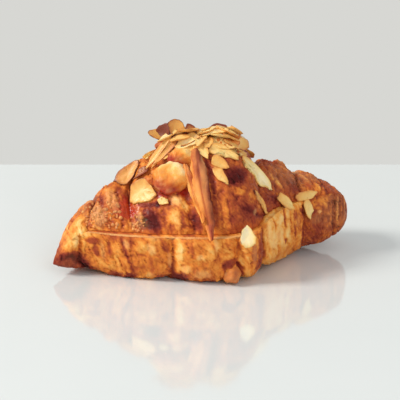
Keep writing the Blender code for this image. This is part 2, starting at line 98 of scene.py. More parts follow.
# %% The top half's table
RIM_GAP = 0.3
LEDGE, LEDGE_AT_ENDS, BACK_LEDGE = 3.8, 1.2, 1.6  # how far the top half is set back on the bottom half
LEDGE_NARROWS_RIGHT, LEDGE_NARROWS_LEFT = (18.0, 42.0), (-56.0, -70.0)
Upper = namedtuple("Upper", "x ridge top slope")
UPPER = rows_of(
    Upper,
    (-73, 5, 23, 1.2), (-70, 6, 26.5, 1.2), (-65, 8, 30.5, 1.3), (-57, 9, 38, 1.4), (-47, 10, 42, 1.5),
    (-38, 11, 50.5, 1.6), (-30, 10, 56.5, 1.5), (-20, 6, 61, 1.3), (-8, 1, 63.5, 1.15),
    (6, -1, 63.5, 1.1), (16, 1, 61, 1.15), (24, 4, 56, 1.2), (30, 8, 49.5, 1.3), (36, 10, 48, 1.3),
    (44, 9.5, 45, 1.2), (55, 7, 40.2, 1.1), (63, 6, 38.6, 1.1), (72, 5, 33.6, 1.2),
)
print(len(UPPER), "stations along the top half")

# %% Where one wrap ends and the next begins
Wrap = namedtuple("Wrap", "front back")
LOWER_WRAPS = rows_of(Wrap, (-68, -62), (-27, -36), (3, 8), (17.5, 30), (49, 54), (68, 70))
UPPER_WRAPS = rows_of(Wrap, (-64, -56), (-43, -35), (-16, -30), (21, 30), (48, 53), (64, 66))
print(len(LOWER_WRAPS) + 1, "wraps of dough along each half")


# %% Curves that the form is drawn with
def smooth(x, rows, field):
    """A cubic through one column of a table, at the places x."""
    xs = np.array([row.x for row in rows])
    ys = np.array([getattr(row, field) for row in rows])
    slopes = np.gradient(ys, xs)
    at = np.clip(np.searchsorted(xs, x) - 1, 0, len(xs) - 2)
    span = xs[at + 1] - xs[at]
    u = np.clip((x - xs[at]) / span, 0.0, 1.0)
    start, end = 1 - 3 * u**2 + 2 * u**3, 3 * u**2 - 2 * u**3
    return (
        start * ys[at]
        + end * ys[at + 1]
        + span * (u - 2 * u**2 + u**3) * slopes[at]
        + span * (u**3 - u**2) * slopes[at + 1]
    )


def ease(value, none, full):
    """0 at none and before it, 1 at full and past it, and smooth between."""
    u = np.clip((value - none) / (full - none), 0.0, 1.0)
    return u * u * (3 - 2 * u)


def mixed(first, second, share):
    """Partly the first and partly the second, by a share."""
    return first + (second - first) * share


def bell(distance, width):
    """1 at distance 0, falling smoothly to nothing past about twice the width."""
    return np.exp(-((distance / width) ** 2))


def near_end(x, reach=17.0):
    """0 along the middle of the croissant, rising to 1 at its tips."""
    return ease(np.abs(x), LENGTH / 2 - reach, LENGTH / 2)


def uneven(points, size, octaves=2, shift=0.0):
    """Noise of about -1 to 1 at points in mm. Size is how large its features are, for each axis."""
    roughness, octave_ratio = 0.8, 2.1
    scaled = (points / np.asarray(size, float) + shift).reshape(-1, 3)
    heights = [noise.fractal(Vector(point), roughness, octave_ratio, octaves) for point in scaled.tolist()]
    return np.array(heights).reshape(points.shape[:-1])


middle_depth = float(smooth(0.0, LOWER, "back") - smooth(0.0, LOWER, "front"))
print(f"depth through the middle: {middle_depth:.1f} mm")

# %% [markdown]
# ## The two halves as plain forms
# The bottom half's section is a superellipse that is cut off level at the rim. The top half's is an arch
# over its cut face. Both are drawn as closed rings of points, evenly spaced round each section, so that
# fine relief is as fine everywhere.

# %% The wall of the bottom half
Wall = namedtuple("Wall", "middle half centre tall power rim_angle rim_half rim end")
SQUARENESS, SQUARENESS_AT_TIPS = 2.9, 2.2  # the superellipse's power: 2 is an oval, and more is squarer
OVAL_TALLER, OVAL_TALLER_AT_TIPS = 1.2, 1.04  # how many times taller the oval is than what the cut leaves


def wall_at(x):
    """The bottom half's section at x: its size, its shape, and where the cut meets it."""
    front, back = smooth(x, LOWER, "front"), smooth(x, LOWER, "back")
    under, rim = smooth(x, LOWER, "under"), smooth(x, LOWER, "rim")
    end = near_end(x)
    power = mixed(SQUARENESS, SQUARENESS_AT_TIPS, end)
    half = (back - front) / 2
    tall = (rim - under) * mixed(OVAL_TALLER, OVAL_TALLER_AT_TIPS, end) / 2
    centre = under + tall
    rim_angle = np.arcsin(np.clip((rim - centre) / tall, -1, 1) ** (power / 2))
    rim_half = half * np.cos(rim_angle) ** (2 / power)
    return Wall((front + back) / 2, half, centre, tall, power, rim_angle, rim_half, rim, end)


print(f"rim at the middle: {float(wall_at(0.0).rim):.1f} mm above the table")

# %% Sections of the two halves
# Out_y and out_z say which way is out, turn goes from 0 in front to 1 behind, and relief is the share of
# the crust's relief that a place shows.
Form = namedtuple("Form", "y z out_y out_z turn relief cut")
BOTTOM_CUT, TOP_CUT = 6 / 28, 6 / 30  # the share of each ring that runs along the cut face
BELLY_SQUARER = 0.7  # added to the power below the middle
TIP, TIP_BULGE = 7.0, 1.5  # in mm: over this length at each tip, the cut face bulges up
THINNEST_TOP = 1.2
UNDERSIDE_RELIEF, TIP_RELIEF = 0.25, 0.2  # the relief that shows there
RIM_RELIEF, ARM_RELIEF, ARMS = 0.35, 0.15, (50.0, 72.0)


def bottom_form(x, share):
    """Share goes from 0 over the cut face, from front to back, and then under the belly to the front."""
    wall = wall_at(x)
    cut = share <= BOTTOM_CUT
    side = 2 * np.clip(share / BOTTOM_CUT, 0, 1) - 1
    y_cut = wall.middle + wall.rim_half * side
    z_cut = wall.rim + TIP_BULGE * near_end(x, TIP) * (1 - side**2)
    w = np.clip((share - BOTTOM_CUT) / (1 - BOTTOM_CUT), 0, 1)
    angle = wall.rim_angle - w * (math.pi + 2 * wall.rim_angle)
    power = np.where(angle < 0, wall.power + BELLY_SQUARER * (1 - wall.end), wall.power)
    across = np.sign(np.cos(angle)) * np.abs(np.cos(angle)) ** (2 / power)
    up = np.sign(np.sin(angle)) * np.abs(np.sin(angle)) ** (2 / power)
    y = np.where(cut, y_cut, wall.middle + wall.half * across)
    z = np.where(cut, z_cut, wall.centre + wall.tall * up)
    relief = mixed(UNDERSIDE_RELIEF, 1.0, 1 - up**2) * mixed(1.0, TIP_RELIEF, wall.end)
    return Form(y, z, np.cos(angle) * wall.tall, np.sin(angle) * wall.half / 2, (1 + across) / 2, relief, cut)


def top_form(x, share):
    """Share goes from 0 along the cut face, from back to front, and then over the crest to the back."""
    wall = wall_at(x)
    narrowed = ease(x, *LEDGE_NARROWS_RIGHT) + ease(x, *LEDGE_NARROWS_LEFT)
    front = wall.middle - wall.rim_half + mixed(LEDGE, LEDGE_AT_ENDS, narrowed)
    back = wall.middle + wall.rim_half - BACK_LEDGE
    ridge, top, slope = (smooth(x, UPPER, field) for field in ("ridge", "top", "slope"))
    foot = wall.rim + RIM_GAP
    tall = np.maximum(top - foot, THINNEST_TOP)
    cut = share <= TOP_CUT
    angle = math.pi * (1 - np.clip((share - TOP_CUT) / (1 - TOP_CUT), 0, 1))
    across = np.cos(angle)
    reach = np.where(across < 0, ridge - front, back - ridge)
    bent = np.where(across < 0, slope, 1.0)
    y_crust = ridge + reach * np.sign(across) * np.abs(across) ** bent
    y = np.where(cut, mixed(back, front, share / TOP_CUT), y_crust)
    z = np.where(cut, foot, foot + tall * np.sin(angle) ** bent)
    relief = mixed(RIM_RELIEF, 1.0, np.sin(angle)) * mixed(1.0, ARM_RELIEF, ease(np.abs(x), *ARMS))
    return Form(y, z, across * tall, np.sin(angle) * reach, (1 + across) / 2, relief, cut)


crest = top_form(0.0, np.linspace(0.0, 1.0, 100))
print(f"plain crest at the middle: {crest.z.max():.1f} mm above the table")

# %% Evenly spaced points
FINE_STEPS, PAST_THE_CUT = 400, 1e-6  # the last keeps the first point of the crust off the cut face
CROWDING = 0.35


def even_shares(form, x, cut_share, on_cut, around):
    """For each station, shares that put on_cut points over the cut face and around points round the rest."""
    fine = np.linspace(cut_share, 1.0, FINE_STEPS)
    shares = np.empty((len(x), on_cut + around))
    for row, station in enumerate(x):
        ring = form(np.full_like(fine, station), fine)
        steps = np.hypot(np.diff(ring.y), np.diff(ring.z))
        length = np.concatenate([[0.0], np.cumsum(steps)])
        wanted = np.linspace(0.0, length[-1], around, endpoint=False)
        shares[row, on_cut:] = np.interp(wanted, length, fine)
        shares[row, :on_cut] = np.linspace(0.0, cut_share, on_cut, endpoint=False)
    shares[:, on_cut] += PAST_THE_CUT
    return shares


def stations(first, last, count):
    """Places along the length, a little crowded towards the two ends."""
    even = np.linspace(0.0, 1.0, count)
    crowded = (1 - np.cos(math.pi * even)) / 2
    return mixed(first, last, mixed(even, crowded, CROWDING))


print("a few stations:", stations(-LENGTH / 2, LENGTH / 2, 7).round(1).tolist())

# %% [markdown]
# ## Relief of the crust
# The dough was rolled from a triangle, so each turn lies over the next one out and ends in a lip. Its
# layers show as fine lines that run along the wraps, with blisters and cracks between them. On a plain
# mesh these could be bump alone, but they are deep enough to catch the light at the outline, so they
# are moved points. Wrap coordinates, across and along the wraps, keep every streak parallel to them.

# %% Wraps, lips and furrows
WRAP_STEP, WRAP_CROWN = 1.6, 1.8
GROOVE_DEPTH, GROOVE_WIDTH = 2.6, 2.8
FURROWS_FADE_RIGHT, RIGHT_FADED = (40.0, 47.0), 0.7  # along X: where furrows lose this share of their depth
FURROWS_FADE_LEFT, LEFT_FADED = (-60.0, -66.0), 0.45
FOOT_DEEPER, FOOT_WIDER = 0.5, 0.7
PAST_TIPS, EDGE_TURNED = 4.0, 0.6  # a wrap's edge has reached its place on the back by this turn
CENTRE_WRAP = -2.0  # wraps to the left of this lie over the one on their left, and the others mirror them
Wraps = namedtuple("Wraps", "relief across edge lip")


def wraps_at(x, turn, wraps, low=0.0):
    """Relief of the wraps at x, the place across them, and the distance from a wrap's edge and lip.

    Low is 1 at the foot of the croissant, where the furrows are wider and deeper."""
    outermost = LENGTH / 2 + PAST_TIPS
    edges = [-outermost + 0 * turn]
    edges += [mixed(wrap.front, wrap.back, ease(turn, 0.0, EDGE_TURNED)) for wrap in wraps]
    edges += [outermost + 0 * turn]
    fronts = [-outermost] + [wrap.front for wrap in wraps] + [outermost]
    relief, across, edge, lip = np.zeros_like(x), x.copy(), np.full_like(x, 99.0), np.full_like(x, 99.0)
    depth = GROOVE_DEPTH * (1 - RIGHT_FADED * ease(x, *FURROWS_FADE_RIGHT))
    depth = depth * (1 - LEFT_FADED * ease(x, *FURROWS_FADE_LEFT)) * (1 + FOOT_DEEPER * low)
    for start, end, front, next_front in zip(edges, edges[1:], fronts, fronts[1:]):
        inside = (x >= start) & (x < end)
        w = np.clip((x - start) / (end - start), 0.0, 1.0)
        leftward = (start + end) / 2 < CENTRE_WRAP
        step = np.where(leftward, 1 - w, w) * WRAP_STEP
        swell = WRAP_CROWN * (1 - (2 * w - 1) ** 2)
        from_edge = np.minimum(x - start, end - x)
        furrow = depth * bell(from_edge, GROOVE_WIDTH * (1 + FOOT_WIDER * low))
        relief = np.where(inside, step + swell - furrow, relief)
        across = np.where(inside, mixed(front, next_front, w), across)
        edge = np.where(inside, from_edge, edge)
        lip = np.where(inside, np.where(leftward, x - start, end - x), lip)
    return Wraps(relief - (WRAP_STEP + WRAP_CROWN) / 2, across, edge, lip)


along_front = np.linspace(-LENGTH / 2, LENGTH / 2, 400)
front_wraps = wraps_at(along_front, 0 * along_front, LOWER_WRAPS)
print(f"wraps and furrows: {front_wraps.relief.min():.1f} to {front_wraps.relief.max():.1f} mm")

# %% [markdown]
# ## How a patch is marked
# Oven heat, glaze and blisters are uneven: a patch of syrup browns to red, a sheltered one stays gold.
# Each patch is an oval on the unrolled crust. It says where it lies along the length, and how far below
# the rim or above the foot, half its size, how it leans, and what it adds: browning, glaze, paleness,
# and how far it swells. A crease is a line that is sunk and browned. The back, which the photograph
# doesn't show, has the same marks the other way round.

# %% Patches and creases
# The columns of a patch: x and up are its middle, wide and long half its size, all in mm, and the rest is
# how far it leans and what it adds. A crease runs from one place to another. Up is measured along the
# crust: from the rim downwards, and so negative, on the bottom half, and from the foot on the top half.
Patch = namedtuple("Patch", "x up wide long lean bake glaze pale swell", defaults=(0.0,) * 5)
Crease = namedtuple("Crease", "x up to_x to_up width depth bake", defaults=(0.8, 0.7, 0.3))
FIELDS = ("bake", "glaze", "pale", "swell")
PATCH_FADES = (0.5, 1.25)  # from the middle, as shares of its size: where it begins to fade, and its end
PATCH_RAGGED, CREASE_RAGGED = 0.25, 0.7  # how far the grain moves their outlines
CREASE_AT_ENDS = 0.4  # the share of its depth that is left at its ends


def marked(patches, creases, x, up, ragged):
    """What patches and creases add at each point. Ragged moves their outlines in and out."""
    sums = {field: np.zeros_like(x) for field in FIELDS}
    for patch in patches:
        rise = up - patch.up
        off = (x - patch.x + patch.lean * rise) / patch.wide
        reach = np.hypot(off, rise / patch.long) * (1 + PATCH_RAGGED * ragged)
        share = 1 - ease(reach, *PATCH_FADES)
        for field in FIELDS:
            sums[field] += getattr(patch, field) * share
    for crease in creases:
        along = np.array([crease.to_x - crease.x, crease.to_up - crease.up])
        length = np.hypot(*along)
        from_x, from_up = x - crease.x + CREASE_RAGGED * ragged, up - crease.up
        u = np.clip((from_x * along[0] + from_up * along[1]) / length**2, 0.0, 1.0)
        off = np.hypot(from_x - u * along[0], from_up - u * along[1])
        share = bell(off, crease.width) * mixed(CREASE_AT_ENDS, 1.0, np.sin(math.pi * u))
        sums["swell"] -= crease.depth * share
        sums["bake"] += crease.bake * share
    return sums


print("a patch adds:", ", ".join(FIELDS))

# %% Marks on the bottom half
LOWER_PATCHES = rows_of(
    Patch,
    # the left end, scorched along a slanting line
    (-74, -3, 3, 5, 0.7, -0.08), (-76.8, -6, 1.6, 6, 0.7, 0.42), (-70, -15, 2.6, 8, 0.6, 0.45),
    (-66, -21.5, 2.5, 4, 0.3, 0.5), (-78, -14, 9, 9, 0, 0, 0, 0.04),
    (-64, -4.6, 3.4, 2, 0.2, 0.34, 0, 0, 0.3), (-62.5, -9.5, 1.5, 3.5, 0.2, 0.28),
    (-59.5, -9, 1.1, 5.5, 0.1, -0.06, 0, 0.22), (-56.3, -8, 0.9, 4, 0.1, 0.16),
    (-53.5, -8, 2.2, 7, 0.1, -0.12), (-62, -15, 4, 2.5, 0, -0.08),
    # the second wrap
    (-49, -5, 1.2, 2.5, 0.2, -0.1, 0, 0.35, 0.3), (-43, -6, 3, 3.5, 0.2, -0.14, 0, 0, 0.2),
    (-38, -7, 2, 3, 0.2, -0.16, 0, 0.4, 0.4), (-36, -1.5, 2.5, 1.5, 0, 0, 0, 0.2),
    (-31, -5, 2.2, 4, 0.3, 0.28), (-38, -15, 1.4, 6, 0.2, 0.12), (-29, -13, 1.3, 5, 0.1, 0, 0, 0.28),
    (-53, -22, 3.5, 3.5, 0, 0.38), (-47, -22.5, 3, 3.5, 0, 0.55), (-38, -20.5, 2, 2, 0, -0.1, 0, 0.25),
    (-33, -23, 3, 3, 0, 0.25), (-28.5, -19, 1.2, 3, 0, 0.2),
    # the third wrap
    (-25.6, -8.5, 2, 12.5, 0, -0.22, 0, 0, 0.8), (-24, -25, 3.5, 6, 0, 0.65),
    (-20, -6.5, 0.9, 4, 0.1, 0.18), (-22.5, -16.8, 2.4, 2, 0, -0.18, 0, 0.3),
    (-16.5, -10.5, 1.8, 1.6, 0, -0.15, 0, 0.45, 0.3), (-12, -8.5, 2.5, 4, 0.1, -0.12),
    (-15, -19, 4.5, 2.5, 0, -0.08, 0, 0.32), (-10, -25.5, 6, 2.5, 0, 0.32), (-11, -1.5, 1, 1.8, 0, 0.14),
    (-8.5, -4, 0.9, 4.5, 0, -0.15, 0, 0.4), (-8, -12, 2, 3, 0, 0.1),
    # round the knob
    (0, -4.5, 4, 4.5, 0.1, 0.1, 0.1), (-2, -14.5, 4.2, 3, -0.4, 0.5), (3.2, -17.5, 1.4, 3.5, 0.3, 0.5),
    (5, -24, 1.2, 6, 0, 0.55), (7.5, -16, 1.6, 3, 0, 0.06), (10.3, -11, 1.6, 6, 0.05, 0.2, 0, 0.18),
    (12.8, -18, 2, 3, 0, 0.36), (15.5, -12, 2, 12, 0.05, 0.36), (18.9, -6, 0.7, 8, 0.05, -0.05, 0, 0.1),
    (19, -18, 1, 3, 0, 0.25),
    # the fifth wrap, pale and smooth
    (21.8, -7, 1.7, 7, 0.05, -0.14, 0, 0.3), (26.5, -1.5, 2.6, 1.6, 0, -0.02),
    (31, -5.5, 2.2, 2.8, -0.1, -0.18, 0, 0.28, 0.3), (25.5, -14, 3, 6, 0.05, -0.08, 0, 0.25),
    (29.5, -13, 2, 3.2, 0, 0.08, 0, 0.3), (32, -15, 1.8, 6, 0.05, -0.1, 0, 0.3),
    (34, -6, 0.9, 6, 0.1, 0.2), (35, -18.5, 1.2, 1.8, 0, 0.5), (36.5, -14, 1.5, 3, 0, -0.1),
    (38.5, -2.5, 2.5, 2, -0.1, -0.05, 0, 0.25), (42, -7, 1.8, 3.2, 0.1, 0.2, 0.15),
    (44.5, -11.5, 1.6, 3.5, 0.1, 0.04, 0, 0.12), (42.5, -16, 0.8, 5, 0.15, 0.18),
    (48, -7.5, 0.9, 3, 0.2, 0.3), (48.5, -21, 1.3, 5, 0, 0.35), (48, -2, 4, 1.6, 0, -0.14),
    # the right end
    (54.5, -8.5, 1.8, 1.3, 0, 0.35), (58, -9, 0.9, 0.9, 0, -0.2, 0, 0.5, 0.3), (55, -4, 1.5, 2, 0, -0.14),
    (62, -3.5, 2.2, 3.2, 0, -0.18), (56, -13, 4, 3, 0, 0.06, 0, 0.1), (55, -20, 4, 4, 0, 0.14),
    (70.5, -9, 0.8, 8, 0, -0.2, 0, 0.22), (75.4, -7, 0.8, 6, 0.05, -0.2, 0, 0.16),
    (68, -9, 12, 12, 0, 0.05, 0, 0.1),
)
LOWER_CREASES = rows_of(
    Crease,
    (-51, -2, -50, -8, 0.55, 0.7, 0.4), (-50, -8, -48.5, -12, 0.6, 0.9, 0.5),
    (-48.5, -12, -45.5, -19, 0.6, 0.9, 0.5), (-47, -0.5, -47, -7.5, 0.5, 0.4, 0.25),
    (-44.5, -9.5, -40, -10.5, 0.5, 0.4, 0.2), (-33.5, -4.5, -31.3, -8, 0.6, 0.5, 0.35),
    (-39.5, -2, -37.5, -9, 0.4, 0.3, 0.15), (-27.2, -4, -27.2, -22, 0.5, 0.7, 0.2),
    (-12, 0, -9.8, -6, 0.4, 0.3, 0.2), (-5, 0, -6.5, -9, 0.45, 0.4, 0.2),
    (-4.3, -15, -3.9, -25, 0.6, 0.9, 0.35), (4, -5.5, 5.5, -16, 0.5, 0.6),
    (9.2, -6, 9, -18, 0.5, 0.5, 0.2), (13, 0, 13.8, -22, 0.8, 0.9), (17.3, 0, 18, -22, 0.8, 1.2),
    (20.2, -2, 21.5, -18, 0.4, 0.3, 0.2), (24, 0, 27.5, -9, 0.4, 0.3, 0.2), (33.5, 0, 35, -12, 0.5, 0.5),
    (38.5, -4, 40, -18, 0.4, 0.4, 0.25), (41, -9, 43, -21, 0.4, 0.4),
    (45.5, -4, 49.5, -11, 0.5, 0.6, 0.35), (50, -12, 51, -26, 0.5, 0.5, 0.25),
    (56.5, -11, 57, -26, 0.4, 0.3, 0.15), (60, -5, 60.5, -22, 0.4, 0.4, 0.2),
    (63.5, -2, 64, -20, 0.4, 0.4, 0.2), (66.8, 0, 67.2, -20, 0.6, 1, 0.4),
    (69.4, 0, 69.2, -18, 0.5, 0.8, 0.35), (71.8, -1, 71.2, -15, 0.6, 1.1, 0.45),
    (74.3, -1, 73.4, -14, 0.6, 1.1, 0.45), (76.8, -1, 75.6, -12, 0.6, 1, 0.45),
)
print(len(LOWER_PATCHES), "patches and", len(LOWER_CREASES), "creases on the bottom half")

# %% Marks on the top half
UPPER_PATCHES = rows_of(
    Patch,
    # the left shoulder: gold at the end, then crumbly, then smooth
    (-69.5, 6, 3, 7, 0, -0.12), (-64, 9, 1.6, 6, 0, -0.04, 0, 0.15), (-59, 9, 3.6, 8, 0, 0.02, 0, 0.42),
    (-50.5, 18, 3.2, 7, 0, -0.06, 0, 0.3, 0.7), (-50, 27, 5, 9, 0, 0, 0, 0, 1.4),
    (-53.5, 28, 1.5, 4, 0, 0.45), (-54, 5, 5, 4, 0, 0.04), (-45, 13.5, 6, 5.5, -0.1, -0.12, 1.9),
    (-43.5, 21, 2, 2.5, 0, 0.25, 0.45), (-43.5, 4.5, 1.5, 2, 0, -0.06, 0, 0.3, 0.6),
    (-39.8, 9.5, 1.3, 4.5, 0, -0.06, 0, 0.25, 0.4), (-34.6, 6.5, 3.4, 7.5, 0.1, 0.72),
    (-39.2, 6, 2.4, 4.5, 0.1, 0.46, 0, 0.12), (-35.5, 15.5, 4.5, 1.6, 0, 0.45),
    (-31, 16, 1.2, 2, 0, 0.65),
    # between the shoulder and the flap
    (-28, 7, 2.2, 6, 0.05, -0.08), (-24, 9, 2.4, 6.5, 0.1, -0.22, 0, 0.1, 0.4),
    (-22.5, 18, 2.6, 3, 0, -0.28, 0, 0.55, 0.3), (-18, 15.5, 3, 4, 0, -0.28),
    (-28.5, 21, 4, 2.2, 0, 0.25, 0.5), (-18.5, 24, 3.5, 3.5, 0, 0.3, 0.85), (-14.2, 6, 1.6, 6, 0.15, 0.4),
    (-5, 32, 1.6, 12, 0.02, 0.45), (-5.8, 14, 1.5, 12, 0, 0.25),
    # the slope under the heap
    (-1, 10, 2.2, 9, 0.05, -0.08), (7.5, 21, 3.8, 2.8, 0.2, -0.24), (7.5, 29.5, 7.5, 5.5, 0, 0.58),
    (11, 9, 4.5, 6, 0.5, 0.19), (14.6, 7.5, 1, 1.8, 0, -0.1, 0, 0.3, 0.2), (20.5, 15, 3, 5, 0.3, 0.07),
    (28, 9, 3.8, 6, 0, 0.18), (30, 5, 2, 3, 0, 0.35),
    # the right arm
    (35.5, 15, 1.5, 7, 0.3, -0.22, 0, 0.12), (34, 28, 2.2, 7, 0, 0.1), (34, 27, 5, 9, 0, 0, 0, 0, 1.8),
    (42, 17, 3, 5, 0.2, -0.06), (46, 8.5, 4, 5.5, 0.2, 0.22), (52.3, 17, 1.2, 8, 0.15, 0.18),
    (56, 17, 1.2, 6, 0.1, -0.14, 0, 0.18), (55, 6, 2, 2.8, 0, 0, 0.5), (60, 4.5, 2, 4, 0, -0.16),
    (62, 17, 4, 8, 0, -0.02, 0, 0.06), (52, 1.5, 6, 1.5, 0, -0.28), (50, 18, 20, 12, 0, 0.02, 0, 0.11),
)
UPPER_CREASES = rows_of(
    Crease,
    (-63.3, 1, -62.8, 6, 0.6, 0.6), (-58.2, 2, -57.4, 12, 0.5, 0.5, 0.2),
    (-55.6, 12, -54.8, 26, 0.7, 0.9, 0.4), (-60.5, 8, -60, 18, 0.5, 0.5, 0.2),
    (-49, 1, -47.5, 9, 0.5, 0.5, 0.25), (-46.8, 25, -47.9, 10, 0.6, 0.7, 0.2),
    (-40.8, 4, -41.6, 14, 0.6, 0.8, 0.4), (-38, 2, -37.6, 14, 0.6, 0.6),
    (-29.2, 3, -28.6, 13, 0.45, 0.5, 0.35), (-27.2, 0, -26.6, 7, 0.4, 0.4),
    (-26, 15, -24.2, 20, 0.4, 0.6, 0.5), (-22.5, 0, -20.8, 12, 0.4, 0.4, 0.25),
    (-18.2, 3, -17.8, 12, 0.5, 0.5), (-16.2, 0, -14.8, 14, 0.6, 0.7, 0.35),
    (-2.6, 1, -3.4, 20, 0.4, 0.35, 0.2), (1.5, 2, 0, 18, 0.4, 0.35, 0.2), (4.5, 16, 6.5, 19, 0.5, 0.5),
    (5, 15, 22, 0, 0.8, 0.9, 0.35), (8, 16, 17, 4, 0.6, 0.5, 0.2), (16, 18, 24, 3, 0.8, 1),
    (31, 2, 36.5, 22, 0.6, 0.6), (38.5, 8, 37.5, 24, 0.5, 0.5, 0.2), (44, 4, 40, 22, 0.5, 0.5, 0.2),
    (49, 3, 51, 16, 0.5, 0.5, 0.15), (54, 10, 52.8, 26, 0.5, 0.5, 0.15), (58, 4, 57, 20, 0.5, 0.5, 0.15),
    (62, 2, 61, 18, 0.5, 0.5, 0.15), (66, 2, 65.5, 14, 0.5, 0.5, 0.15),
)
print(len(UPPER_PATCHES), "patches and", len(UPPER_CREASES), "creases on the top half")

# %% [markdown]
# ## From rings of points to a mesh
# Every piece here is a stack of closed rings with a point at either end: the halves, each almond, the
# flap of dough. One function turns such a stack into a mesh and stores its masks.


# %% A mesh from rings
def ring_mesh(rings, start, end):
    """Points and faces of stacked closed rings, with a fan at each end."""
    rows, around = rings.shape[:2]
    points = np.concatenate([rings.reshape(-1, 3), [start, end]])
    near = np.arange(around)
    far = (near + 1) % around
    faces = []
    for row in range(rows - 1):
        low, high = row * around, (row + 1) * around
        faces += np.stack([low + near, low + far, high + far, high + near], axis=1).tolist()
    last = (rows - 1) * around
    faces += np.stack([far, near, np.full(around, rows * around)], axis=1).tolist()
    faces += np.stack([last + near, last + far, np.full(around, rows * around + 1)], axis=1).tolist()
    if signed_volume(points, faces) < 0:
        faces = [face[::-1] for face in faces]
    return points, faces


def signed_volume(points, faces):
    """Six times the volume that the faces enclose, negative if they face inwards."""
    total = 0.0
    for corners in (3, 4):
        picked = np.array([face for face in faces if len(face) == corners])
        for turn in range(1, corners - 1):
            a, b, c = (points[picked[:, corner]] for corner in (0, turn, turn + 1))
            total += np.einsum("ij,ij->i", a, np.cross(b, c)).sum()
    return total


def add_piece(name, parts, material, node, masks):
    """Joins parts, each (points in mm, faces, masks by name), into one piece that stands for a CAD node."""
    points, faces, offset = [], [], 0
    for part_points, part_faces, _ in parts:
        points.append(part_points)
        faces += [[corner + offset for corner in face] for face in part_faces]
        offset += len(part_points)
    points = np.concatenate(points) - [0.0, BOX_MIDDLE_Y, 0.0]
    mesh = bpy.data.meshes.new(name)
    mesh.from_pydata((points * MM).tolist(), [], faces)
    for mask in masks:
        values = np.concatenate([np.ravel(part_masks[mask]) for _, _, part_masks in parts])
        mesh.attributes.new(mask, "FLOAT", "POINT").data.foreach_set("value", values.astype(np.float32))
    mesh.shade_smooth()
    mesh.validate()
    mesh.materials.append(material)
    piece = bpy.data.objects.new(name, mesh)
    bpy.context.scene.collection.objects.link(piece)
    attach(piece, "root")
    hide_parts(node)
    low, high = points.min(0), points.max(0)
    ranges = ", ".join(f"{axis} {a:.1f} to {b:.1f}" for axis, a, b in zip("xyz", low, high))
    print(f"{name}: {len(faces)} faces, {ranges} mm")


hexagon = np.array([[math.cos(corner), math.sin(corner), 0.0] for corner in np.arange(6) * math.pi / 3])
trial_points, trial_faces = ring_mesh(np.stack([hexagon, hexagon + [0, 0, 1]]), [0, 0, 0], [0, 0, 1])
print("a trial prism has", len(trial_points), "points and", len(trial_faces), "faces")

# %% [markdown]
# ## Materials
# Baked crust is browned starch and sugar under a thin, hard syrup glaze: a rough brown base with a
# clear, fairly sharp sheen over it. Its colour follows how far it has baked, so one ramp runs from pale
# crumb through gold and amber to near black. Colours are written as sRGB hex and turned to linear light.


# %% Colour and node helpers
def linear(colour):
    """An sRGB hex colour as linear red, green, blue and full opacity."""
    parts = [int(colour[i : i + 2], 16) / 255 for i in (1, 3, 5)]
    return (*[p / 12.92 if p <= 0.04045 else ((p + 0.055) / 1.055) ** 2.4 for p in parts], 1.0)


def feed(tree, node, links):
    """Feeds a node's inputs, each from a socket, or from a node whose first output is meant."""
    for key, source in links.items():
        socket = source.outputs[0] if isinstance(source, bpy.types.Node) else source
        tree.links.new(socket, node.inputs[key])


def add_node(tree, kind, settings=None, links=None):
    """Adds a shader node. Settings are its properties and fixed inputs, and links feed the others."""
    node = tree.nodes.new("ShaderNode" + kind)
    for key, value in (settings or {}).items():
        if isinstance(key, int) or key in node.inputs:
            node.inputs[key].default_value = value
        else:
            setattr(node, key, value)
    feed(tree, node, links or {})
    return node


def set_stops(ramp, stops):
    """Gives a colour ramp its stops, each a place and a hex colour."""
    elements = ramp.color_ramp.elements
    elements[0].position, elements[0].color = stops[0][0], linear(stops[0][1])
    elements[1].position, elements[1].color = stops[-1][0], linear(stops[-1][1])
    for place, colour in stops[1:-1]:
        elements.new(place).color = linear(colour)


def new_material(name, settings):
    """A material, its tree and its Principled shader, with settings on the shader's own inputs."""
    material = bpy.data.materials.new(name)
    material.use_nodes = True
    shader = material.node_tree.nodes["Principled BSDF"]
    for key, value in settings.items():
        shader.inputs[key].default_value = value
    return material, material.node_tree, shader


print("mid grey in linear light:", round(linear("#808080")[0], 3))

# %% What crust is like
CRUST_MASKS = ("bake", "glaze", "pale", "across_mm", "along_mm")
CRUST_TONES = [
    (0.00, "#FBE3B0"),
    (0.14, "#F9CB80"),
    (0.28, "#F2A851"),
    (0.42, "#E08436"),
    (0.56, "#BE602E"),
    (0.70, "#943D2A"),
    (0.84, "#641F1C"),
    (1.00, "#2C0E0B"),
]
GLAZE_TONE, GLAZE_COVERS = "#B02411", 0.85  # syrup that has browned to red, and how well it covers
CRUMB_TONE, CRUMB_DRYNESS = "#F7C07E", 0.55
FIBRE, MOTTLE, SPECKLE = 0.20, 0.16, 0.08  # how much fine unevenness adds to how far the crust has baked
STREAK_WIDE, STREAK_LONG = 0.9, 6.0  # in mm: layers of dough, coarse enough to show
STREAK_NOISE = {"Scale": 1.0, "Detail": 4.0, "Roughness": 0.62}
MOTTLE_NOISE = {"Scale": 1 / (2.4 * MM), "Detail": 4.0, "Roughness": 0.6}  # small blisters, 2.4 mm
SPECKLE_NOISE = {"Scale": 1 / (0.7 * MM), "Detail": 2.0, "Roughness": 0.55}  # pores, drawn 0.7 mm coarse
STREAKS_STAND, SPECKLES_STAND = 0.7, 0.4  # as shares of the bump's height
CRUST_BUMP = {"Strength": 0.8, "Distance": 0.6 * MM}
GLAZED_COAT, GLAZED_SMOOTHER, MOTTLED_ROUGHER = 0.6, 0.25, 0.35  # glaze shines, and blisters are dull
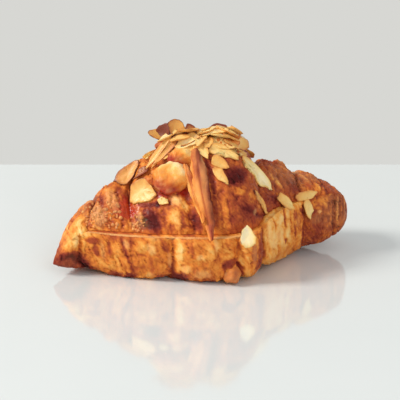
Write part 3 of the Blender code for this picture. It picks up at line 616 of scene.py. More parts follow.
CRUST_SHADER = {
    "IOR": 1.46,  # dry starch, with little sheen of its own
    "Specular IOR Level": 0.1,
    "Coat Roughness": 0.2,  # the syrup glaze, hard and fairly sharp
    "Coat IOR": 1.45,
    "Subsurface Weight": 0.05,  # crumb just under the crust lets a little warm light through
    "Subsurface Radius": (0.004, 0.0016, 0.0006),
    "Subsurface Scale": 0.5,
}


# %% Baked crust
def baked_crust(name, roughness, gloss):
    """Crust whose colour follows the masks bake, glaze and pale, with streaks along the wraps."""
    material, tree, shader = new_material(name, CRUST_SHADER)
    masks = [add_node(tree, "Attribute", {"attribute_name": mask}).outputs["Fac"] for mask in CRUST_MASKS]
    bake, glaze, pale, across_mm, along_mm = masks
    across = add_node(tree, "Math", {"operation": "DIVIDE", 1: STREAK_WIDE}, {0: across_mm})
    along = add_node(tree, "Math", {"operation": "DIVIDE", 1: STREAK_LONG}, {0: along_mm})
    unrolled = add_node(tree, "CombineXYZ", links={0: across, 1: along})
    place = add_node(tree, "TexCoord").outputs["Object"]
    streaks = add_node(tree, "TexNoise", STREAK_NOISE, {"Vector": unrolled})
    mottle = add_node(tree, "TexNoise", MOTTLE_NOISE, {"Vector": place})
    speckle = add_node(tree, "TexNoise", SPECKLE_NOISE, {"Vector": place})

    tone = bake
    for texture, share in ((streaks, FIBRE), (mottle, MOTTLE), (speckle, SPECKLE)):
        tone = add_node(tree, "Math", {"operation": "MULTIPLY_ADD", 1: share}, {0: texture, 2: tone})
    centring = {"operation": "SUBTRACT", 1: (FIBRE + MOTTLE + SPECKLE) / 2}
    tone = add_node(tree, "Math", centring, {0: tone})
    crust_colour = add_node(tree, "ValToRGB", links={"Fac": tone})
    set_stops(crust_colour, CRUST_TONES)
    covered = add_node(tree, "Math", {"operation": "MULTIPLY", 1: GLAZE_COVERS}, {0: glaze})
    over = {"data_type": "RGBA", 7: linear(GLAZE_TONE)}
    glazed = add_node(tree, "Mix", over, {0: covered, 6: crust_colour}).outputs[2]
    dryness = add_node(tree, "Math", {"operation": "ADD", 1: CRUMB_DRYNESS}, {0: speckle})
    dry = add_node(tree, "Math", {"operation": "MULTIPLY"}, {0: pale, 1: dryness})
    over = {"data_type": "RGBA", 7: linear(CRUMB_TONE)}
    colour = add_node(tree, "Mix", over, {0: dry, 6: glazed}).outputs[2]

    coat = add_node(tree, "Math", {"operation": "MULTIPLY_ADD", 1: GLAZED_COAT, 2: gloss}, {0: glaze})
    mottled = {"operation": "MULTIPLY_ADD", 1: MOTTLED_ROUGHER, 2: roughness - MOTTLED_ROUGHER / 2}
    rough = add_node(tree, "Math", mottled, {0: mottle})
    rough = add_node(tree, "Math", {"operation": "MULTIPLY_ADD", 1: -GLAZED_SMOOTHER}, {0: glaze, 2: rough})
    height = add_node(tree, "Math", {"operation": "MULTIPLY", 1: STREAKS_STAND}, {0: streaks})
    standing = {"operation": "MULTIPLY_ADD", 1: SPECKLES_STAND}
    height = add_node(tree, "Math", standing, {0: speckle, 2: height})
    bump = add_node(tree, "Bump", CRUST_BUMP, {"Height": height})
    feed(tree, shader, {"Base Color": colour, "Coat Weight": coat, "Roughness": rough, "Normal": bump})
    return material


golden_crust = baked_crust("golden_baked_crust", 0.46, 0.03)
brown_crust = baked_crust("glazed_brown_crust", 0.40, 0.07)
print("crust:", golden_crust.name, "and", brown_crust.name)

# %% [markdown]
# ## The bottom half
# The band of crust that the croissant stands on, with the cut crumb on top. It is meshed about every
# 0.6 mm, which is one pixel of the photograph. Its fine relief is a sum of layers of noise, each with a
# size and a height in mm. Some are laid on the form as it is, and those that follow the layers of dough
# on the unrolled crust.

# %% Layers of unevenness
Half = namedtuple(
    "Half", "form wraps ends rows cut_share on_cut around shift from_rim low tones patches creases"
)
Crust = namedtuple("Crust", "x up plain base out masks")
Tone = namedtuple("Tone", "x high low")  # how far the crust has baked, near the top and near the foot
Layer = namedtuple("Layer", "size octaves shift height", defaults=(1.0,))  # shift keeps layers unlike
WARP = Layer((9, 5, 5), 2, 3, 1.3)
CRAGS = Layer(7, 3, 0, 0.55)
BLISTERS, PIMPLES, GRAIN = Layer(4.6, 2, 17, 0.75), Layer(2, 2, 63, 0.40), Layer(1.2, 2, 23, 0.14)
STREAKS, THREADS = Layer((2.4, 12, 1), 3, 0, 0.26), Layer((1, 6, 1), 2, 9, 0.16)
CRACKS, CRACK_WIDTH = Layer((4.2, 20, 1), 2, 41, -0.80), 0.07
NET, NET_WIDTH = Layer((5, 7.5, 1), 2, 57, -0.55), 0.09
BLOTCHES, MOTTLING = Layer(12, 2, 31), Layer(4, 3, 71)  # these two are of colour
LIP_HEIGHT, LIP_REACH = 0.45, 1.3  # each wrap's lip, and how far in it fades
LAYERS_HEIGHT, LAYER_STEP, LAYERS_REACH, LAYERS_RAGGED = 0.35, 1.7, 6.0, 0.3  # steps behind the lip
SEAM_DEPTH, SEAM_WIDTH = 0.95, 0.75
LEAN, LEAN_ENDS = 0.28, (0.3, 0.7)  # the layers lean to the right on their way down the front
LAID_WARP, RAGGED_WARP = 0.45, 0.7  # shares of the warp: in the wraps, and in their lips
BOW, BOW_AT_FOOT, BOW_HEIGHTS, BOWED = 1.2, -2.5, (9.0, 0.5), (-45.0, -60.0)  # how the left seams are bowed
FOOT_HEIGHTS = (10.0, 2.0)  # in mm above the table: where the furrows widen


def noise_on(points, layer, half):
    """One layer of unevenness, of about -1 to 1, at the points."""
    return uneven(points, layer.size, layer.octaves, half.shift + layer.shift)


print("heights in mm: crags", CRAGS.height, "blisters", BLISTERS.height, "cracks", CRACKS.height)


# %% Relief of the crust
def rings_of(half):
    """The plain form of a half: x, its sections, its points, and how far each is round its section."""
    x = stations(*half.ends, half.rows)
    shares = even_shares(half.form, x, half.cut_share, half.on_cut, half.around)
    x = np.repeat(x[:, None], half.on_cut + half.around, axis=1)
    plain = half.form(x, shares)
    base = np.stack([x, plain.y, plain.z], axis=-1)
    steps = np.linalg.norm(np.diff(base[:, half.on_cut :], axis=1), axis=-1)
    run = np.concatenate([np.zeros((half.rows, half.on_cut + 1)), np.cumsum(steps, axis=1)], axis=1)
    return x, plain, base, run


def fine_relief(half, base, unrolled, lip_at, seam, grain, streak):
    """How far everything finer than the wraps stands out, in mm."""
    thread = noise_on(unrolled, THREADS, half)
    crack = bell(noise_on(unrolled, CRACKS, half), CRACK_WIDTH)
    net = bell(noise_on(unrolled, NET, half), NET_WIDTH)
    blister = np.maximum(noise_on(base, BLISTERS, half), 0)
    pimple = np.maximum(noise_on(base, PIMPLES, half), 0)
    inwards = np.maximum(lip_at, 0)
    lip = np.exp(-inwards / LIP_REACH)
    layers = ((lip_at / LAYER_STEP + LAYERS_RAGGED * grain) % 1.0) * np.exp(-inwards / LAYERS_REACH)
    fine = STREAKS.height * streak + THREADS.height * thread + BLISTERS.height * blister
    fine += PIMPLES.height * pimple + GRAIN.height * grain + LIP_HEIGHT * lip + LAYERS_HEIGHT * layers
    fine += CRACKS.height * crack + NET.height * net - SEAM_DEPTH * seam
    return fine


print("a lip stands", LIP_HEIGHT, "mm high, and a seam is sunk by", SEAM_DEPTH, "mm")


# %% How far the crust has baked
BACK_MIRROR = -4.0  # the back has the front's marks, mirrored about half this X
SCORCH, SCORCH_SHARE = 0.62, 0.4  # past this much baking, the tone deepens only by this share
RAW, RAW_SHARE = 0.24, 0.6  # and below this much, it pales only by this share
CONTRAST, CONTRAST_GROWS = (0.75, 1.3), (40.0, 55.0)  # the bottom half browns less evenly on its right arm
BLOTCHY, MOTTLED, STREAKY, SEAMED = 0.13, 0.12, 0.07, 0.10
RELIEF_PAINTED_LIGHT_AND_SHADE, MEAN_HEIGHT = 0.16, 0.2  # per mm above the mean height of the fine relief: its tops are painted paler and its dips darker, as painted light and shade


def marks_on(half, x, up, run, turn, ragged):
    """What the half's patches and creases add, with the same ones the other way round on its back."""
    marks = marked(half.patches, half.creases, x, up, ragged)
    from_back = -run if half.from_rim else run[:, -1:] - run
    behind = marked(half.patches, half.creases, BACK_MIRROR - x, from_back, ragged)
    return {field: np.where(turn < 0.5, marks[field], behind[field]) for field in FIELDS}


def baking(half, x, height, unevenness, seam, marks):
    """How far each point has baked, from 0 for pale crumb to 1 for black, with painted light on the tops of
    the fine relief and painted shade in its dips.
    """
    above = height if half.from_rim else height - height[:, -1:]
    bake = mixed(smooth(x, half.tones, "high"), smooth(x, half.tones, "low"), ease(above, *half.low))
    contrast = mixed(*CONTRAST, ease(x, *CONTRAST_GROWS)) if half.from_rim else 1.0
    bake += contrast * unevenness
    bake += SEAMED * seam + marks["bake"]
    bake = np.where(bake > SCORCH, SCORCH + SCORCH_SHARE * (bake - SCORCH), bake)
    return np.where(bake < RAW, RAW + RAW_SHARE * (bake - RAW), bake)


print(f"tones from {RAW} to {SCORCH} are left as they are")

# %% The crust of a half
GLAZE_SMOOTHS, FLAT_KEEPS = 0.5, 0.5  # shares of the fine relief: what glaze takes, what flat places keep


def crust_of(half):
    """The plain form of one half, how far its points move out, and how each has baked."""
    x, plain, base, run = rings_of(half)
    height = base[..., 2]
    up = run - run[:, -1:] if half.from_rim else run
    warp = WARP.height * noise_on(base, WARP, half)
    bow = mixed(BOW, BOW_AT_FOOT, ease(height, *BOW_HEIGHTS)) * ease(x, *BOWED) * half.from_rim
    low = ease(height, *FOOT_HEIGHTS) * half.from_rim
    laid = wraps_at(x + bow + LAID_WARP * warp, plain.turn, half.wraps, low)
    ragged = wraps_at(x + bow + RAGGED_WARP * warp, plain.turn, half.wraps)
    lean = LEAN * (height - RIM_HEIGHT) * (1 - ease(plain.turn, *LEAN_ENDS))
    unrolled = np.stack([laid.across + lean + warp, up, np.zeros_like(up)], axis=-1)

    grain, streak = noise_on(base, GRAIN, half), noise_on(unrolled, STREAKS, half)
    seam = bell(ragged.edge, SEAM_WIDTH)
    fine = fine_relief(half, base, unrolled, ragged.lip, seam, grain, streak)
    marks = marks_on(half, x, up, run, plain.turn, grain)
    fine *= 1 - GLAZE_SMOOTHS * np.clip(marks["pale"] * half.from_rim + marks["glaze"], 0.0, 1.0)
    crags = CRAGS.height * uneven(base + half.shift, CRAGS.size, CRAGS.octaves)
    out = laid.relief * plain.relief + crags + fine * mixed(FLAT_KEEPS, 1.0, plain.relief) + marks["swell"]

    unevenness = BLOTCHY * noise_on(base, BLOTCHES, half) + MOTTLED * noise_on(base, MOTTLING, half)
    # Tops of the fine relief are painted paler and its dips darker: painted light and shade.
    unevenness += STREAKY * streak - RELIEF_PAINTED_LIGHT_AND_SHADE * (fine - MEAN_HEIGHT)
    masks = {
        "bake": baking(half, x, height, unevenness, seam, marks),
        "glaze": np.clip(marks["glaze"], 0.0, 1.0),
        "pale": np.clip(marks["pale"], 0.0, 1.0),
        "across_mm": x + LEAN * height + warp,
        "along_mm": up,
    }
    return Crust(x, up, plain, base, out, masks)


print("every point of the crust has", ", ".join(CRUST_MASKS))


# %% From crust to piece
def pushed_out(plain, out):
    """The form's points, moved out along its own directions."""
    size = np.maximum(np.hypot(plain.out_y, plain.out_z), 1e-9)
    return plain.y + out * plain.out_y / size, plain.z + out * plain.out_z / size


def with_ends(values, first=None, last=None):
    """A mask over rings of points, followed by its values at the two end points."""
    flat = np.ravel(values)
    return np.concatenate([flat, [flat[0] if first is None else first, flat[-1] if last is None else last]])


def add_half(name, crust, y, z, material, node):
    """Makes a half's mesh from its rings, and returns a search tree over it."""
    rings = np.stack([crust.x, y, z], axis=-1)
    points, faces = ring_mesh(rings, rings[0].mean(0), rings[-1].mean(0))
    masks = {mask: with_ends(values) for mask, values in crust.masks.items()}
    add_piece(name, [(points, faces, masks)], material, node, CRUST_MASKS)
    return BVHTree.FromPolygons(points.tolist(), faces)


print("a mask over 6 points in rings has", len(with_ends(np.zeros((2, 3)))), "values with its two ends")

# %% Bottom half
BOTTOM = Half(
    form=bottom_form, wraps=LOWER_WRAPS, ends=(-LENGTH / 2, LENGTH / 2), rows=270, cut_share=BOTTOM_CUT,
    on_cut=56, around=210, shift=0.0, from_rim=True, low=(20.0, 5.0), patches=LOWER_PATCHES,
    creases=LOWER_CREASES,
    tones=rows_of(
        Tone,
        (-83, 0.4, 0.86), (-68, 0.21, 0.65), (-60, 0.46, 0.42), (-40, 0.4, 0.42), (-10, 0.37, 0.39),
        (2, 0.29, 0.29), (12, 0.36, 0.36), (28, 0.22, 0.28), (42, 0.31, 0.36), (49, 0.42, 0.48),
        (56, 0.54, 0.56), (66, 0.6, 0.64), (76, 0.54, 0.58), (83, 0.9, 0.9),
    ),
)
NIBBLE, NIBBLE_SIZE, NIBBLE_REACH = 0.35, 1.6, 1.2  # in mm: how the knife's edge of the rim has crumbled
SETTLES, SETTLES_BELOW = 1.6, (12.0, 4.0)  # in mm: how far it has sunk on its tray, and at what heights
SETTLES_RIGHT, SETTLES_LEFT = (60.0, 35.0), (-64.0, -48.0)

crust = crust_of(BOTTOM)
x, plain, wall = crust.x, crust.plain, wall_at(crust.x)
y, z = pushed_out(plain, crust.out)
rim_nibble = NIBBLE * (1 + uneven(crust.base, NIBBLE_SIZE, 2, 5.0))
z = np.minimum(z, wall.rim - rim_nibble * bell(crust.up, NIBBLE_REACH))
settled = ease(x, *SETTLES_RIGHT) * ease(x, *SETTLES_LEFT) * ease(z, *SETTLES_BELOW)
z = np.maximum(z - SETTLES * settled, 0.0)
print(f"the relief moves its points by {crust.out.min():.1f} to {crust.out.max():.1f} mm")

# %% The cut rim
CUT_STARTS, CUT_ENDS = (-68.0, -64.0), (9.0, 14.0)  # along X: where pale crumb shows at the rim
CRUSTED_RIGHT, CRUSTED_LEFT = (70.0, 74.0), (-71.0, -75.0)  # along X: where crust runs over the cut
CRUSTED_RELIEF = 0.9  # the share of the crust's relief that the cut face shows there
PIT_DEPTH, PIT_SIZE, CRUMB_SUNK = 0.45, 1.4, 0.25  # in mm: the open crumb
SHADED = (1.6, 3.4)  # in mm from the front: where the cut goes in under the top half
# The second of these darkens the cut where it goes in under the top half: painted shade.
SHADED_RISES, SHADED_PAINTED_DARKER, PAINTED_SHADE_FROM = 0.2, 0.10, (1.5, 3.5)
PALE_EDGE_THEN_PAINTED_SHADE, RIM_PALE, RIM_PALE_WIDTH = (0.8, 2.4), 0.9, 0.55  # the crumb's pale line along the front, which fades further in as painted shade under the top half
PALE_MEAN, PALE_VARIES, PALE_SIZE = 0.75, 0.35, (5.0, 50.0, 50.0)  # and how it varies along X
NOSE, NOSE_LOWER = 4.0, 0.5  # in mm: each tip is rounded off over this length, to this far under its middle

from_front = plain.y - (wall.middle - wall.rim_half)
shaded = ease(from_front, *SHADED)
crumb_pits = PIT_DEPTH * np.maximum(uneven(crust.base, PIT_SIZE, 2, 7.0), 0) + CRUMB_SUNK
pitted = (1 - near_end(x, TIP)) * (1 - shaded)
crusted = ease(x, *CRUSTED_RIGHT) + ease(x, *CRUSTED_LEFT)
over_cut = np.sin(math.pi * np.clip(from_front / (2 * wall.rim_half), 0, 1))
cut_z = plain.z - crumb_pits * pitted + SHADED_RISES * shaded
cut_z += CRUSTED_RELIEF * crust.out * crusted * over_cut
y, z = np.where(plain.cut, plain.y, y), np.where(plain.cut, cut_z, z)
cut_pale = np.where(plain.cut, 1 - ease(from_front, *PALE_EDGE_THEN_PAINTED_SHADE), RIM_PALE * bell(crust.up, RIM_PALE_WIDTH))
cut_pale *= ease(x, *CUT_STARTS) * (1 - ease(x, *CUT_ENDS))
cut_pale *= PALE_MEAN + PALE_VARIES * uneven(crust.base, PALE_SIZE)
nose = np.sqrt(1 - (1 - np.clip((LENGTH / 2 - np.abs(x)) / NOSE, 0, 1)) ** 2)
y, z = mixed(wall.middle, y, nose), mixed(wall.centre - NOSE_LOWER, z, nose)
crust.masks["pale"][:] = np.clip(np.maximum(crust.masks["pale"], cut_pale), 0.0, 1.0)
# Darker where the cut goes in under the top half: painted shade.
crust.masks["bake"][:] += np.where(plain.cut, SHADED_PAINTED_DARKER * ease(from_front, *PAINTED_SHADE_FROM), 0.0)
bottom_tree = add_half("bottom_crust", crust, y, z, golden_crust, "lower_half")

# %% [markdown]
# ## The top half
# The domed top, set back a little on the bottom half. It took more heat and more glaze, so it is darker,
# above all on the right arm, and its left shoulder is crumbly where sugar and cream have dried.

# %% Top half
TOP = Half(
    form=top_form, wraps=UPPER_WRAPS, ends=(UPPER[0].x, UPPER[-1].x), rows=250, cut_share=TOP_CUT,
    on_cut=40, around=200, shift=40.0, from_rim=False, low=(16.0, 2.0), patches=UPPER_PATCHES,
    creases=UPPER_CREASES,
    tones=rows_of(
        Tone,
        (-74, 0.34, 0.34), (-60, 0.48, 0.52), (-40, 0.5, 0.54), (-24, 0.47, 0.5), (-8, 0.45, 0.49),
        (2, 0.61, 0.6), (16, 0.57, 0.58), (26, 0.62, 0.58), (34, 0.57, 0.56), (52, 0.6, 0.57),
        (73, 0.6, 0.58),
    ),
)
CLOSED_LEFT, CLOSED_RIGHT = (-62.0, -68.0), (40.0, 50.0)  # along X: where the halves have baked together
CLOSED_BY, CLOSED_REACH = 1.5, 3.0  # in mm: how far the foot comes out and down there, and up to where
FOOT_ARCH = 0.4  # in mm: the foot's edge stays this much above the cut, for a thin dark line
PALER_FOOT, PALER_REACH, PALER_ENDS = 0.15, 2.6, (-6.0, 4.0)  # on the left, the foot has browned less

crust = crust_of(TOP)
plain = crust.plain
closed = ease(crust.x, *CLOSED_LEFT) + ease(crust.x, *CLOSED_RIGHT)
closing = CLOSED_BY * closed * bell(crust.up, CLOSED_REACH)
y, z = pushed_out(plain, crust.out + closing)
foot = wall_at(crust.x).rim + RIM_GAP - CLOSED_BY * closed
z = np.maximum(z - closing, foot + FOOT_ARCH * np.sin(math.pi * np.clip(plain.turn, 0, 1)))
y, z = np.where(plain.cut, plain.y, y), np.where(plain.cut, foot, z)
crust.masks["bake"][:] -= PALER_FOOT * bell(crust.up, PALER_REACH) * (1 - ease(crust.x, *PALER_ENDS))
top_tree = add_half("top_crust", crust, y, z, brown_crust, "upper_half")

# %% [markdown]
# ## Flaked almonds
# A flake is a slice about a millimetre thick, cut along the nut: pointed at one end, blunt at the other,
# with the brown skin left as a line round its edge. In the oven it curls and its edge toasts. Each one
# is a stack of rings round its middle, over the top face, round the edge and back under, bent a little
# and with a nibbled outline, and it lies where its solid does.

# %% Almond material
# Almond, cut by a blade and toasted. The cut face is dull and faintly grained, with a little oil in it,
# so it gives a soft sheen. Toasting tans it in clouds, and the skin at its edge is dark brown.
ALMOND_TONES = [(0.0, "#FCECC6"), (0.25, "#F5D48A"), (0.5, "#EBB05B"), (0.75, "#D08741"), (1.0, "#8C4023")]
SKIN_TONE = "#6A2A16"
NUT_GRAIN = {"Scale": 1 / (0.8 * MM), "Detail": 3.0, "Roughness": 0.55}  # 0.8 mm: the blade's marks
TOAST_CLOUD = {"Scale": 1 / (3.5 * MM), "Detail": 2.0, "Roughness": 0.55}  # 3.5 mm: uneven toasting
GRAINY, CLOUDY, ALMOND_DARKER = 0.12, 0.24, -0.12  # what these add to how far the slice has toasted
ALMOND_ROUGH, ALMOND_ROUGHER = 0.32, 0.3
ALMOND_BUMP = {"Strength": 0.5, "Distance": 0.25 * MM}
ALMOND_SHADER = {
    "IOR": 1.46,  # the nut's own oil
    "Coat Weight": 0.15,  # a trace of syrup
    "Coat Roughness": 0.25,
    "Subsurface Weight": 0.12,  # a slice this thin glows a little
    "Subsurface Radius": (0.003, 0.002, 0.001),
    "Subsurface Scale": 0.5,
}


def toasted_almond(name):
    """Creamy slice that toasts to tan, with brown skin where the mask says so."""
    material, tree, shader = new_material(name, ALMOND_SHADER)
    masks = ("toast", "skin")
    toast, skin = [add_node(tree, "Attribute", {"attribute_name": mask}).outputs["Fac"] for mask in masks]
    place = add_node(tree, "TexCoord").outputs["Object"]
    grain = add_node(tree, "TexNoise", NUT_GRAIN, {"Vector": place})
    cloud = add_node(tree, "TexNoise", TOAST_CLOUD, {"Vector": place})
    tone = add_node(tree, "Math", {"operation": "MULTIPLY_ADD", 1: GRAINY}, {0: grain, 2: toast})
    tone = add_node(tree, "Math", {"operation": "MULTIPLY_ADD", 1: CLOUDY}, {0: cloud, 2: tone})
    tone = add_node(tree, "Math", {"operation": "ADD", 1: ALMOND_DARKER}, {0: tone})
    flesh = add_node(tree, "ValToRGB", links={"Fac": tone})
    set_stops(flesh, ALMOND_TONES)
    over = {"data_type": "RGBA", 7: linear(SKIN_TONE)}
    colour = add_node(tree, "Mix", over, {0: skin, 6: flesh}).outputs[2]
    roughness = {"operation": "MULTIPLY_ADD", 1: ALMOND_ROUGHER, 2: ALMOND_ROUGH}
    rough = add_node(tree, "Math", roughness, {0: grain})
    bump = add_node(tree, "Bump", ALMOND_BUMP, {"Height": grain})
    feed(tree, shader, {"Base Color": colour, "Roughness": rough, "Normal": bump})
    return material


almond = toasted_almond("toasted_flaked_almond")
print("almond:", almond.name, "with", len(almond.node_tree.nodes), "nodes")

# %% Where the flakes lie
# A flake's start and end are near its two ends, in mm, and its roll is in degrees about that line.
FLAKE_THICK, FLAKE_LAP, FLAKE_TAPER, FLAKE_BLUNT = 1.2, 1.0, 0.28, 0.12
FLAKE_CUP, CUP_ALONG, CUP_LEVEL = 1.3, 0.6, 0.5  # how far its edges curl up, in mm, and less at its ends
CURLED_WIDTH = 9.0  # slices narrower than this, in mm, are flatter
Flake = namedtuple("Flake", "start end width roll toast skin thick", defaults=(0.3, FLAKE_THICK))
UPPER_FLAKES = rows_of(
    Flake,
    # the large ones on the left shoulder
    ((-41.8, 0.7, 42), (-31.1, -11.8, 43), 14.5, 20, 0.34, 0.1),
    ((-45.4, 9, 43.2), (-33.5, 8.5, 55), 9, 22, 0.58, 0.6),
    ((-30.4, -15.4, 40), (-26.6, -18.4, 39.6), 4, 0, 0.2),
    # long ones that run down to the left from the crown
    ((-17.6, 2.5, 69.4), (-31.8, 0.5, 53.2), 4.2, -18, 0.44),
    ((-17, 1.2, 67.8), (-29, -1.2, 54), 3.2, -34, 0.46),
    ((-15.4, -0.4, 66.4), (-28.6, -1.6, 55.4), 3.8, -20, 0.58),
    ((-31, 0.5, 53), (-38, 2, 47.6), 5, 20, 0.85),
    # the heap on the crown
    ((-22, 8.5, 66.5), (-19, 7, 73.5), 10, 60, 0.95, 1),
    ((-17.2, 6.5, 74), (-10.5, 4.5, 68), 9.5, 60, 0.5, 0.7),
    ((-26.6, 10.5, 69.5), (-18.5, 8, 66.5), 8, 45, 0.45, 0.5),
    ((-9.5, 5, 71.5), (-2.5, 4, 68), 7, 45, 0.7, 0.9), ((5, 7, 68.4), (13.5, 4.8, 70.6), 6, 45, 0.95, 1),
    # the next slice faces away from the light, and its toast is set below any toasting: painted light
    ((12.5, 3, 66.5), (24.4, 2, 61.5), 9.5, 26, -0.05, 0.8),
    ((7, -9, 63.4), (18, -8, 57.4), 9.5, 20, 0.36, 0.2, 2.6),
    ((-17, -1.5, 64.5), (-6, -6, 66.5), 8, 20, 0.12), ((-12.5, 3, 67), (-2, -7, 66.5), 8, 26, 0.28),
    ((-1, 2, 67.5), (12.5, -2, 66.5), 9, 26, 0.22), ((-1.5, -3, 66.5), (11, -12.5, 63), 8.5, 22, 0.18),
    ((-1.5, -11, 64), (12.5, -18, 59), 8.5, 28, 0.24),
    ((-2.5, -17.5, 60.5), (3.5, -23.5, 56.5), 7, 0, 0.4),
    # the ones on the front slope and down the right shoulder
    # the next slice lies in shade, and its toast is set pale: painted light
    ((14, -16, 58.5), (29.6, -18.5, 40.2), 9.5, 28, 0.05),
    ((-2, -21.5, 56.5), (1.3, -29.2, 49.4), 6, 0, 0.36),
    ((16.3, -28.9, 44.2), (23, -29, 31.5), 5, 30, 0.45, 0.6),
    ((32.6, -20.3, 38.8), (40.4, -24, 30), 6, 0, 0.32),
    ((44.5, -18, 34.6), (57, -14.5, 35.2), 6, 12, 0.34),
)
LOWER_FLAKES = rows_of(
    Flake,
    ((7.4, -46.9, 21), (6.8, -43.8, 30.6), 8, 0, 0.02), ((50.5, -17, 33), (52.5, -17.5, 23), 5, 0, 0.22),
)
print(len(UPPER_FLAKES), "flakes are placed on the top half, and", len(LOWER_FLAKES), "at the rim")

# %% Flakes that are laid by a rule
BACK_FLAKES, BACK_SEED = 16, 11
BACK_MIDDLE, BACK_SPREAD = (-4.0, 15.0), (32.0, 6.0)
BACK_LENGTHS, BACK_WIDTHS, BACK_ROLL, BACK_LIFT = (12.4, 16.3), (7.2, 9.8), 14.0, 0.5
BACK_TOASTS = (0.15, 0.6)
GOLDEN_ANGLE = math.pi * (3 - math.sqrt(5))
HIGH_UP, DOWN, FACING_REACH = 100.0, Vector((0, 0, -1)), 6.0  # in mm


def facing(tree, place, reach=FACING_REACH):
    """The mean direction that the crust faces around the point of it that is nearest to a place."""
    nearest = tree.find_nearest(place)[0]
    return sum((found[1] for found in tree.find_nearest_range(nearest, reach)), Vector()).normalized()


def golden_spread(count, middle, spread):
    """Places spread over an oval by the golden angle, each with how far out it is, from 0 to 1."""
    for number in range(count):
        reach, turn = math.sqrt((number + 0.5) / count), number * GOLDEN_ANGLE
        x, y = middle[0] + spread[0] * reach * math.cos(turn), middle[1] + spread[1] * reach * math.sin(turn)
        yield x, y, reach


def flat_ends(centre, normal, heading, length):
    """The two ends of a slice that lies flat to the crust and points along a heading."""
    along = Vector((math.cos(heading), math.sin(heading), 0))
    along = (along - normal * along.dot(normal)).normalized() * length / 2
    return tuple(centre - along), tuple(centre + along)


def back_flakes(tree):
    """Flakes spread over the back, where the solids have theirs."""
    draw, toasts = random.Random(BACK_SEED), random.Random(BACK_SEED + 1)
    flakes = []
    for x, y, _ in golden_spread(BACK_FLAKES, BACK_MIDDLE, BACK_SPREAD):
        place = tree.ray_cast(Vector((x, y, HIGH_UP)), DOWN)[0]
        normal = facing(tree, place)
        heading, length = draw.uniform(0, math.pi), draw.uniform(*BACK_LENGTHS)
        width, roll = draw.uniform(*BACK_WIDTHS), draw.uniform(-BACK_ROLL, BACK_ROLL)
        start, end = flat_ends(place + normal * BACK_LIFT, normal, heading, length)
        flakes.append(Flake(start, end, width, roll, toasts.uniform(*BACK_TOASTS)))
    return flakes


on_top = UPPER_FLAKES + back_flakes(top_tree)
print(len(on_top) - len(UPPER_FLAKES), "flakes on the back")

# %% The outline of a flake
FLAKE_CHIPS, CHIP_KEPT, CHIP_SIDE = 4, (0.72, 0.95), 0.2
OUTLINE_ROUND, WAVY, NIBBLED = 1.6, 0.09, 0.05  # shares of its size: broad waves and small bites


def over_rings(*parts):
    """Coordinates for points in rings, from parts that each vary by ring, by side, or not at all."""
    return np.stack(np.broadcast_arrays(*parts), axis=-1)


def angles(count):
    """Evenly spaced angles round a ring, in one row."""
    return np.linspace(0, 2 * math.pi, count, endpoint=False)[None, :]


def lying_on(tree, start, end):
    """Axes along a line and out of the crust under it, and the line's middle."""
    middle = (start + end) / 2
    normal = facing(tree, middle)
    along = (end - start).normalized()
    out = (normal - along * normal.dot(along)).normalized()
    return Matrix((along, out.cross(along), out)).transposed(), middle


def broken_outline(a, edge_of, draw):
    """How far out the edge is at each angle, wavy and with chips broken off it."""
    outline = 1 + WAVY * uneven(edge_of, 1.0, 2) + NIBBLED * uneven(edge_of, 0.3, 1)
    for _ in range(FLAKE_CHIPS):
        chipped, kept = draw.uniform(0, 2 * math.pi), draw.uniform(*CHIP_KEPT)
        outline = np.minimum(outline, kept / np.maximum(np.cos(a - chipped), CHIP_SIDE))
    return outline


print("each slice has up to", FLAKE_CHIPS, "chips off its edge")

# %% One flake
FLAKE_SIDES = 40
FLAKE_PROFILE = [0.25, 0.5, 0.72, 0.88, 0.97, 1.0]  # rings from the middle to the edge of a face
FLAKE_EDGE, EDGE_ROUND = 0.38, 8  # thickness as a share of that of the solid, and how abruptly it ends
TWIST, RIPPLE, RIPPLES = 0.8, 0.4, 3  # the first two are the most, in mm
EDGE_TOAST, TOAST_SLOPE = 0.28, 0.14  # browner at the edge, and towards one side
SKIN_EDGE, SKIN_BARE, SKIN_FADES = 0.96, 0.45, 0.4  # skin shows on the outermost rings, in stretches
ALL_SKIN, SKIN_COVERS, SKIN_WORN = 0.95, 0.75, 0.5  # a slice with more skin than this is an outer one


